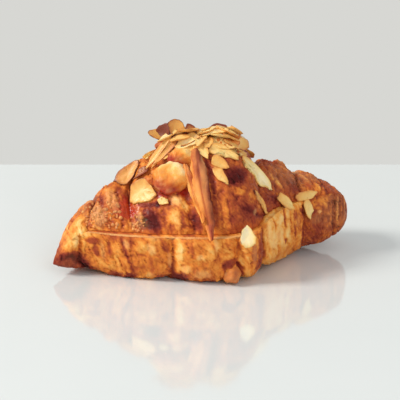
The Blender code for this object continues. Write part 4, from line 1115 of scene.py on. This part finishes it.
def flake_part(flake, tree, draw):
    """Points, faces and masks of one curled slice."""
    start, end = Vector(flake.start), Vector(flake.end)
    axes, middle = lying_on(tree, start, end)
    turned = np.array(axes @ Matrix.Rotation(math.radians(flake.roll), 3, "X"))
    long, wide = (end - start).length / 2 + FLAKE_LAP, flake.width / 2
    r = np.array(FLAKE_PROFILE + FLAKE_PROFILE[-2::-1])[:, None]
    side = np.array([1.0] * (len(FLAKE_PROFILE) - 1) + [0.0] + [-1.0] * (len(FLAKE_PROFILE) - 1))[:, None]
    a = angles(FLAKE_SIDES)
    edge_of = over_rings(np.cos(a) * OUTLINE_ROUND + draw.uniform(0, 50), np.sin(a) * OUTLINE_ROUND, 0)
    outline = broken_outline(a, edge_of, draw)

    u, v = r * np.cos(a), r * np.sin(a)
    taper = 1.0 - FLAKE_TAPER * u - FLAKE_BLUNT * u * u
    curl = min(1.0, flake.width / CURLED_WIDTH)
    cup = FLAKE_CUP * (CUP_ALONG * u * u + v * v - CUP_LEVEL)
    bend = draw.uniform(-TWIST, TWIST) * u * v
    bend = bend + draw.uniform(-RIPPLE, RIPPLE) * np.sin(RIPPLES * u + draw.uniform(0, 6))
    thick = flake.thick * FLAKE_EDGE * np.sqrt(np.maximum(1 - r**EDGE_ROUND, 0.0)) * side
    rings = over_rings(u * long * outline, v * wide * taper * outline, (cup + bend) * curl + thick)
    core = np.array([0.0, 0.0, -FLAKE_CUP * CUP_LEVEL * curl])
    rise = np.array([0.0, 0.0, flake.thick * FLAKE_EDGE])
    points, faces = ring_mesh(rings, core + rise, core - rise)

    slope = draw.uniform(-TOAST_SLOPE, TOAST_SLOPE) * u + draw.uniform(-TOAST_SLOPE, TOAST_SLOPE) * v
    toast = flake.toast + EDGE_TOAST * r**5 * (1 + uneven(edge_of, 0.8, 2)) + slope
    bare = SKIN_BARE - flake.skin
    skin = np.where(r > SKIN_EDGE, ease(uneven(edge_of, 1.2, 2, 8.0), bare, bare + SKIN_FADES), 0.0)
    if flake.skin > ALL_SKIN:
        skin = np.maximum(skin, SKIN_COVERS * (1 - SKIN_WORN * r**2))
    inner_skin = skin[0].mean()
    toast, skin = with_ends(toast, flake.toast, flake.toast), with_ends(skin, inner_skin, inner_skin)
    return points @ turned.T + np.array(middle), faces, {"toast": toast, "skin": skin}


# %% Lay the flakes down
CLEARANCE, DEEPEST = 0.15, -2.5  # mm above the crust; what lies deeper stays buried
SLICE_THICK, LEDGE_MARGIN = 0.8, 0.3  # in mm
RIM_LIFT, LIFT_STEP = 0.1, 0.02  # each slice a little higher than the last, so that no two share a face


def laid_on(part, tree, thick):
    """Pushes out what would sink a little into the crust, so that a slice drapes over it."""
    points, faces, masks = part
    half = (len(points) - 2) // 2
    for number, point in enumerate(points):
        upper = number < half or number == len(points) - 2
        place, normal = tree.find_nearest(Vector(point))[:2]
        height = (Vector(point) - place).dot(normal)
        wanted = CLEARANCE + thick * upper
        if DEEPEST < height < wanted:
            points[number] += np.array(normal) * (wanted - height)
    return points, faces, masks


def clear_of_rim(part, lift):
    """Lifts what would sink into the bottom half onto its cut rim."""
    points, faces, masks = part
    wall = wall_at(points[:, 0])
    over_ledge = points[:, 1] > wall.middle - wall.rim_half + LEDGE_MARGIN
    level = wall.rim + RIM_GAP + lift
    points[:, 2] = np.where(over_ledge, np.maximum(points[:, 2], level), points[:, 2])
    return points, faces, masks


draw = random.Random(7)
top_flakes = [laid_on(flake_part(flake, top_tree, draw), top_tree, SLICE_THICK) for flake in on_top]
top_flakes = [clear_of_rim(part, RIM_LIFT + LIFT_STEP * number) for number, part in enumerate(top_flakes)]
add_piece("flaked_almonds", top_flakes, almond, "upper_half", ("toast", "skin"))
rim_flakes = [flake_part(flake, bottom_tree, draw) for flake in LOWER_FLAKES]
rim_flakes = [laid_on(part, bottom_tree, SLICE_THICK) for part in rim_flakes]
add_piece("rim_almonds", rim_flakes, almond, "lower_half", ("toast", "skin"))

# %% [markdown]
# ## Glazed lumps, almond cream and a knob of dough
# Almond cream that ran out from under the flakes has set in smooth lumps, with syrup over them. They
# are ovals, swollen unevenly. The knob is the end of a wrap that peeps out from under the belly.

# %% Where the lumps and mounds are
Lump = namedtuple("Lump", "start end width thick bake")
LUMPS = rows_of(
    Lump,
    ((-29.8, -8.6, 46.6), (-15.2, -13, 52.6), 18, 5.4, 0.31),
    ((-19.5, -3, 58), (-10.5, -10, 60), 10, 5, 0.36),
)
Mound = namedtuple("Mound", "centre radii bake")
# The mounds' brown is partly their baking and partly painted shade under the flakes over them.
MOUNDS = rows_of(Mound, ((-14, 7, 62.3), (10, 7.6, 6.2), 0.56), ((7, 1, 63), (14, 9, 4.5), 0.48))
# The knob's dark tone is partly its baking and partly painted shade at the foot of the belly.
KNOB = Mound((0.0, -41.5, 5.4), (4.4, 5.0, 4.9), 0.53)
Finish = namedtuple("Finish", "rows around melt bumps shift pale", defaults=(0.0,))  # bumps in mm
LUMP_FINISH, MOUND_FINISH = Finish(24, 40, 1.0, 1.5, 3.0), Finish(30, 50, 0.0, 2.2, 9.0)
KNOB_FINISH, CRUMB_FINISH = Finish(24, 36, 0.0, 0.9, 21.0, 0.12), Finish(5, 8, 0.0, 0.35, 31.0, 0.34)
print(len(LUMPS), "lumps,", len(MOUNDS), "mounds and a knob")

# %% Ovals of cream and dough
BUMP_SIZE, BLOTCH_SIZE, DRY_SIZE = 5.0, 4.0, 2.5
LUMP_LAP, SQUARED = 1.0, 0.8  # in mm past its two ends, and the power that squares the oval
MELTED_AND_SHADED_SIDE = (-0.65, -0.75)  # the lower left: syrup has run and reddened it there, and its browner tone is painted shade
# The first of these is painted light and shade: browner at the lower left and paler at the upper right.
PAINTED_LIGHT_AND_SHADE_SLOPE, MELT_GLAZES, MELT_SHOWS = 0.38, 0.8, (0.35, 0.95)
OVAL_BLOTCHY, OVAL_DRY = 0.12, 0.4  # how unevenly it has browned and dried
OVAL_ACROSS, OVAL_ALONG = 0.3, 2.0  # the streaks' coordinates, which run level


def away_from(points, middle):
    """Directions of length 1, from the middle to each point."""
    away = points - middle
    return away / np.maximum(np.linalg.norm(away, axis=-1, keepdims=True), 1e-6)


def oval_part(shape, bake, finish):
    """An oval with small swellings. Shape is a function that places the unit sphere's points.

    The finish says how much redder with syrup its lower left is, and how much browner it is there and paler
    at its upper right: painted shade and a painted highlight."""
    polar = np.linspace(0, math.pi, finish.rows + 2)[1:-1, None]
    a = angles(finish.around)
    ball = over_rings(np.sin(polar) * np.cos(a), np.sin(polar) * np.sin(a), np.cos(polar))
    ball = np.concatenate([ball.reshape(-1, 3), [[0.0, 0.0, 1.0], [0.0, 0.0, -1.0]]])
    placed = shape(ball)
    bumps = finish.bumps * uneven(placed, BUMP_SIZE, 3, finish.shift)
    placed = placed + away_from(placed, placed.mean(0)) * bumps[:, None]
    rings = placed[:-2].reshape(finish.rows, finish.around, 3)
    points, faces = ring_mesh(rings, placed[-2], placed[-1])
    low = ball[:, :2] @ MELTED_AND_SHADED_SIDE
    dry = np.maximum(uneven(placed, DRY_SIZE, 2, finish.shift + 8), 0.0)
    blotch = uneven(placed, BLOTCH_SIZE, 2, finish.shift + 5)
    masks = {
        "bake": bake + PAINTED_LIGHT_AND_SHADE_SLOPE * finish.melt * low + OVAL_BLOTCHY * blotch,
        "glaze": MELT_GLAZES * finish.melt * ease(low, *MELT_SHOWS),
        "pale": finish.pale + OVAL_DRY * dry,
        "across_mm": OVAL_ACROSS * placed[:, 0],
        "along_mm": OVAL_ALONG * placed[:, 2],
    }
    return points, faces, masks


def mound_points(mound, ball):
    """The unit sphere's points as a plain oval."""
    return ball * np.array(mound.radii) + np.array(mound.centre)


def lump_points(lump, tree, ball):
    """The unit sphere's points as a rounded slab that lies on the crust."""
    start, end = Vector(lump.start), Vector(lump.end)
    axes, middle = lying_on(tree, start, end)
    sizes = np.array([(end - start).length / 2 + LUMP_LAP, lump.width / 2, lump.thick])
    squared = np.sign(ball) * np.abs(ball) ** SQUARED
    return (squared * sizes) @ np.array(axes).T + np.array(middle)


print(f"the larger lump is {LUMPS[0].width} mm wide and {2 * LUMPS[0].thick} mm thick")

# %% Lumps, mounds and knob
glazed_dough = baked_crust("glazed_almond_cream", 0.44, 0.12)
lumps = [oval_part(partial(lump_points, lump, top_tree), lump.bake, LUMP_FINISH) for lump in LUMPS]
add_piece("glazed_lumps", lumps, glazed_dough, "upper_half", CRUST_MASKS)
mounds = [oval_part(partial(mound_points, mound), mound.bake, MOUND_FINISH) for mound in MOUNDS]
add_piece("almond_cream", mounds, glazed_dough, "upper_half", CRUST_MASKS)
knob = oval_part(partial(mound_points, KNOB), KNOB.bake, KNOB_FINISH)
add_piece("dough_knob", [knob], golden_crust, "lower_half", CRUST_MASKS)

# %% [markdown]
# ## Shards
# Slices break when they are strewn, so the heap is full of broken ones, most of them broad, and the inner
# ones lie over the outer. They are many, so they are laid by a rule: spread by the golden angle, each
# turned a little away from the middle, and higher the nearer it is to it.

# %% Shards
Scatter = namedtuple("Scatter", "count middle spread lengths widths toasts seed lift")
HEAP = Scatter(
    count=32, middle=(0.5, 1.0), spread=(20.0, 12.5), lengths=(9.0, 14.0), widths=(5.0, 8.0),
    toasts=(0.06, 0.42), seed=21, lift=1.4,
)
SHARD_JITTER, SHARD_TURN, SHARD_ROLL, SHARD_SKIN = 1.5, 0.3, 14.0, 0.30  # mm, radians, degrees, a share
SHARD_CLEAR, SHARD_RAISED, SHARD_REACH = 1.3, 0.6, 3.0  # mm above what is under them, and how wide that is


def scattered(spots, trees):
    """Broken slices spread over an oval, lying on whatever is highest under them."""
    draw = random.Random(spots.seed)
    flakes = []
    for x, y, reach in golden_spread(spots.count, spots.middle, spots.spread):
        x, y = x + draw.uniform(-SHARD_JITTER, SHARD_JITTER), y + draw.uniform(-SHARD_JITTER, SHARD_JITTER)
        hits = [(tree.ray_cast(Vector((x, y, HIGH_UP)), DOWN)[0], tree) for tree in trees]
        hits = [(place, tree) for place, tree in hits if place is not None]
        if not hits:
            continue
        place, tree = max(hits, key=lambda hit: hit[0].z)
        normal = facing(tree, place, SHARD_REACH)
        heading = math.atan2(y - spots.middle[1], x - spots.middle[0]) + draw.gauss(0, SHARD_TURN)
        length = draw.uniform(*spots.lengths)
        centre = place + normal * (SHARD_CLEAR + spots.lift * (1 - reach) + draw.uniform(0, SHARD_RAISED))
        width, toast = draw.uniform(*spots.widths), draw.uniform(*spots.toasts)
        roll, skin = draw.uniform(-SHARD_ROLL, SHARD_ROLL), draw.uniform(0.0, SHARD_SKIN)
        start, end = flat_ends(centre, normal, heading, length)
        flakes.append(Flake(start, end, width, roll, toast, skin))
    return flakes


mound_trees = [BVHTree.FromPolygons(points.tolist(), faces) for points, faces, _ in mounds]
shards = [flake_part(flake, top_tree, draw) for flake in scattered(HEAP, [top_tree, *mound_trees])]
add_piece("almond_shards", shards, almond, "upper_half", ("toast", "skin"))

# %% [markdown]
# ## Crumbs
# Cream that ran down the left shoulder has dried and broken up, and so it is covered with crumbs. Each
# is an uneven oval of about a millimetre, half sunk in the crust.

# %% Crumbs
Crumbs = namedtuple("Crumbs", "count left right low high")
CRUMBS = rows_of(Crumbs, (80, -65.0, -48.0, 1.5, 13.0), (26, -43.5, -38.0, 1.0, 8.0))
CRUMB_RADII, CRUMB_BAKES, CRUMB_SINKS = (0.5, 1.1), (0.46, 0.66), 0.2  # radii and depth in mm
IN_FRONT, BACKWARDS = -100.0, Vector((0, 1, 0))


def crumb_parts(area, tree, draw):
    """Small ovals strewn over part of the front, between two heights above the rim."""
    parts = []
    for _ in range(area.count):
        x = draw.uniform(area.left, area.right)
        z = float(wall_at(np.array([x])).rim[0]) + draw.uniform(area.low, area.high)
        place = tree.ray_cast(Vector((x, IN_FRONT, z)), BACKWARDS)[0]
        radii = [draw.uniform(*CRUMB_RADII) for _ in range(3)]
        bake = draw.uniform(*CRUMB_BAKES)
        if place is not None:
            crumb = Mound((place.x, place.y + CRUMB_SINKS, place.z), radii, bake)
            parts.append(oval_part(partial(mound_points, crumb), bake, CRUMB_FINISH))
    return parts


crumb_draw = random.Random(5)
crumbs = [part for area in CRUMBS for part in crumb_parts(area, top_tree, crumb_draw)]
add_piece("dry_crumbs", crumbs, golden_crust, "upper_half", CRUST_MASKS)

# %% [markdown]
# ## The flap of dough
# A strip of the top layer has come loose and hangs down the front, with a shorter strip beside it. It
# could be a curve with thickness, but its edges curl and its layers show, so it is a stack of rings
# that follows the slope, flattened and with ridges along it.

# %% Where the flap and the strip hang
Strip = namedtuple("Strip", "start end width thick lift bake")
STRIPS = rows_of(
    Strip,
    ((-8.8, -9, 64.5), (-10.8, -42.4, 24.8), 9.2, 4.2, 1.7, 0.61),
    ((-15.2, -11.5, 57), (-12.4, -35, 32), 5.6, 3.4, 1, 0.46),
)
STRIP_ROWS, STRIP_AROUND, STRIP_SMOOTHED = 80, 36, 60
STRIP_HANGS = (0.8, 1.0)  # the share of its length over which it comes away from the slope


def strip_line(strip, tree):
    """The line that a strip follows down the slope, and its directions outwards and across."""
    start, end = Vector(strip.start), Vector(strip.end)
    lines, normals = [], []
    for row in range(1, STRIP_ROWS):
        line = start.lerp(end, row / STRIP_ROWS)
        place, normal = tree.find_nearest(line)[:2]
        lines.append(place.lerp(line, float(ease(row / STRIP_ROWS, *STRIP_HANGS))))
        normals.append(normal)
    lines, normals = np.array(lines), np.array(normals)
    for _ in range(STRIP_SMOOTHED):
        for values in (lines, normals):
            values[1:-1] = (values[:-2] + 2 * values[1:-1] + values[2:]) / 4
    across = np.cross(normals, np.array(end - start))
    return lines[:, None], normals[:, None], (across / np.linalg.norm(across, axis=1, keepdims=True))[:, None]


print("strips:", ", ".join(f"{(Vector(strip.end) - Vector(strip.start)).length:.0f} mm" for strip in STRIPS))

# %% Flap and strip
STRIP_BLUNT, STRIP_NARROWS, STRIP_FLAT = 0.35, 0.38, 0.5  # how blunt its ends are, how thin its edges
WOBBLE, WOBBLE_ALONG = 0.22, 9.0  # its width varies by this share, about 9 times along it
CURL, CURL_EDGE, CURL_ALONG = 1.1, 5, 5.0  # its edges curl by up to this many mm
RIDGE, RIDGE_ROUND, RIDGE_ALONG, RIDGE_SIZE = 0.55, 1.6, 7.0, 1.3  # ridges of dough along it, in mm
FOLD, FOLD_STARTS, FOLD_LEANS, FOLD_WIDTH = 0.5, 0.25, 0.5, 0.14  # a sunk line, this many mm deep
# The second and third darken one side of a strip and its fold: painted shade.
STRIP_BLOTCHY, SIDE_PAINTED_SHADE, FOLD_PAINTED_SHADE, END_PALER = 0.16, 0.20, 0.14, 0.06
STRIP_PALE, STRIP_PALE_VARIES, STRIP_PALEST, PALE_FADES = 0.2, 0.4, 0.4, 0.8
STRIP_STREAKS = (1.2, 34.0)  # in mm, across and along: the streaks' coordinates


def strip_part(strip, tree, shift):
    """A flattened roll of dough that follows the slope under it, folded along its middle."""
    line, outwards, across = strip_line(strip, tree)
    a = angles(STRIP_AROUND)
    u = np.arange(1, STRIP_ROWS)[:, None] / STRIP_ROWS
    side = np.sign(np.cos(a))
    swell = (1 - STRIP_NARROWS * u * u) * np.sin(math.pi * u) ** STRIP_BLUNT
    wobble = 1 + WOBBLE * uneven(over_rings(side, WOBBLE_ALONG * u, shift), 1.0, 3)
    sideways = np.cos(a) * strip.width / 2 * swell * wobble
    lens = np.sin(a) * np.abs(np.sin(a)) ** STRIP_FLAT * strip.thick / 2 * swell
    curl = CURL * np.abs(np.cos(a)) ** CURL_EDGE * uneven(over_rings(side, CURL_ALONG * u, 3.0), 1.0, 2)
    outward = strip.lift + lens + curl * swell
    rings = line + sideways[..., None] * across + outward[..., None] * outwards
    fold = bell(np.cos(a) - FOLD_STARTS + FOLD_LEANS * u, FOLD_WIDTH) * (np.sin(a) > 0) * np.sin(math.pi * u)
    around = over_rings(np.cos(a) * RIDGE_ROUND, np.sin(a) * RIDGE_ROUND, u * RIDGE_ALONG + shift)
    ridges = RIDGE * uneven(around, RIDGE_SIZE, 3) - FOLD * fold
    rings = rings + away_from(rings, rings.mean(axis=1, keepdims=True)) * ridges[..., None]
    points, faces = ring_mesh(rings, rings[0].mean(0), rings[-1].mean(0))

    blotch = uneven(over_rings(np.cos(a), np.sin(a), 4 * u), 1.3, 2, shift)
    pale = np.clip(STRIP_PALE - STRIP_PALE_VARIES * blotch, 0.0, STRIP_PALEST)
    # One side and the fold are darker, and the fold is not pale: painted shade.
    bake = strip.bake + STRIP_BLOTCHY * blotch + SIDE_PAINTED_SHADE * np.cos(a) + FOLD_PAINTED_SHADE * fold
    fields = {
        "bake": bake - END_PALER * u,
        "glaze": 0 * bake,
        "pale": pale * (1 - fold) * (1 - PALE_FADES * u),
        "across_mm": STRIP_STREAKS[0] * np.cos(a) + 0 * u,
        "along_mm": STRIP_STREAKS[1] * u + 0 * a,
    }
    return points, faces, {mask: with_ends(values) for mask, values in fields.items()}


strips = [clear_of_rim(strip_part(strip, top_tree, number * 7.0), 0.6) for number, strip in enumerate(STRIPS)]
add_piece("dough_flap", strips, golden_crust, "upper_half", CRUST_MASKS)

# %% [markdown]
# ## Table, light and camera
# The croissant stands on a polished white table against a plain grey wall, in soft light from the upper
# left. The table ends behind it, and the wall is the world's own colour, so the croissant can be looked
# at from every side. The camera is where the photograph's was.

# %% Camera
CAMERA_AZIMUTH, CAMERA_ELEVATION = math.radians(-19.02), math.radians(17.0)
CAMERA_DISTANCE, CAMERA_LENS, CAMERA_SENSOR = 0.9, 154.5, 36.0
CAMERA_AIM = Vector((-0.0029, -BOX_MIDDLE_Y * MM, 0.033))
level_x = math.sin(CAMERA_AZIMUTH) * math.cos(CAMERA_ELEVATION)
level_y = -math.cos(CAMERA_AZIMUTH) * math.cos(CAMERA_ELEVATION)
towards = Vector((level_x, level_y, math.sin(CAMERA_ELEVATION)))
camera = bpy.data.objects.new("camera", bpy.data.cameras.new("camera"))
camera.data.lens, camera.data.sensor_width = CAMERA_LENS, CAMERA_SENSOR
camera.location = CAMERA_AIM + towards * CAMERA_DISTANCE
camera.rotation_euler = (-towards).to_track_quat("-Z", "Y").to_euler()
bpy.context.scene.collection.objects.link(camera)
bpy.context.scene.camera = camera
print("camera at", [round(value, 3) for value in camera.location])

# %% Table
# White lacquer on a flat board, polished: it mirrors what stands on it, and wiping has left a faint haze.
TABLE_WIDE, TABLE_NEAR = 1.6, 1.8  # in metres: half its width, and how far it reaches to the front
TABLE_BEHIND = 0.191  # and from the croissant to its far edge
TABLE_TONES = ("#E2E9EA", "#E6ECED")
TABLE_CLOUD = {"Scale": 1 / (60.0 * MM), "Detail": 2.0, "Roughness": 0.55}  # 60 mm: wiped unevenly
TABLE_ROUGH, TABLE_ROUGHER = 0.06, 0.03  # nearly a mirror, and the haze
TABLE_SHADER = {"IOR": 2.0}  # above lacquer's 1.5, because the polished top mirrors this strongly


def polished_table():
    """White lacquer, polished until it mirrors, and very slightly cloudy."""
    material, tree, shader = new_material("polished_white_lacquer", TABLE_SHADER)
    place = add_node(tree, "TexCoord").outputs["Object"]
    cloud = add_node(tree, "TexNoise", TABLE_CLOUD, {"Vector": place})
    tones = {"data_type": "RGBA", 6: linear(TABLE_TONES[0]), 7: linear(TABLE_TONES[1])}
    colour = add_node(tree, "Mix", tones, {0: cloud}).outputs[2]
    roughness = {"operation": "MULTIPLY_ADD", 1: TABLE_ROUGHER, 2: TABLE_ROUGH}
    rough = add_node(tree, "Math", roughness, {0: cloud})
    feed(tree, shader, {"Base Color": colour, "Roughness": rough})
    return material


table_mesh = bpy.data.meshes.new("table")
near, far = -TABLE_NEAR, TABLE_BEHIND
corners = [(-TABLE_WIDE, near, 0), (TABLE_WIDE, near, 0), (TABLE_WIDE, far, 0), (-TABLE_WIDE, far, 0)]
table_mesh.from_pydata(corners, [], [(0, 1, 2, 3)])
table_mesh.materials.append(polished_table())
table = bpy.data.objects.new("table", table_mesh)
table.rotation_euler.z = CAMERA_AZIMUTH
bpy.context.scene.collection.objects.link(table)
print(f"table: {2 * TABLE_WIDE} m wide, and {TABLE_NEAR + TABLE_BEHIND} m from front to back")

# %% [markdown]
# ## Light
# One soft light stands for the window, upper left and a little behind. The other, in front, stands for
# the rest of the room. It fills the shaded side and is left out of reflections, because the table mirrors
# no such light. The wall is darker overhead, where only the table and the glaze would mirror it.

# %% Light
WALL_TONE, CEILING_TONE = "#D7D7D3", "#BBBBBA"
OVERHEAD = {"From Min": 0.15, "From Max": 0.5}  # as the height of a direction, which is 1 straight up


def soft_box(name, place, size, power, tone, mirrored=True):
    """A square area light that faces the croissant. It may be left out of reflections."""
    light = bpy.data.lights.new(name, "AREA")
    light.size, light.energy, light.color = size, power, linear(tone)[:3]
    lamp = bpy.data.objects.new(name, light)
    lamp.location = place
    lamp.rotation_euler = (CAMERA_AIM - Vector(place)).to_track_quat("-Z", "Y").to_euler()
    lamp.visible_glossy = mirrored
    bpy.context.scene.collection.objects.link(lamp)
    print(f"{name}: {power:.0f} W from a square {size} m wide")


soft_box("window", (-2.0, 0.35, 1.6), 0.8, 53.0, "#FFFAF3")
soft_box("room_light", (0.3, -2.3, 1.3), 1.4, 18.0, "#FFFDFA", mirrored=False)
world = bpy.data.worlds.new("room")
world.use_nodes = True
room = world.node_tree
direction = add_node(room, "TexCoord").outputs["Generated"]
height = add_node(room, "SeparateXYZ", links={0: direction}).outputs["Z"]
overhead = add_node(room, "MapRange", OVERHEAD, {"Value": height})
room_tones = {"data_type": "RGBA", 6: linear(WALL_TONE), 7: linear(CEILING_TONE)}
backdrop = add_node(room, "Mix", room_tones, {0: overhead}).outputs[2]
feed(room, room.nodes["Background"], {"Color": backdrop})
bpy.context.scene.world = world
bpy.context.scene.view_settings.view_transform = "Standard"
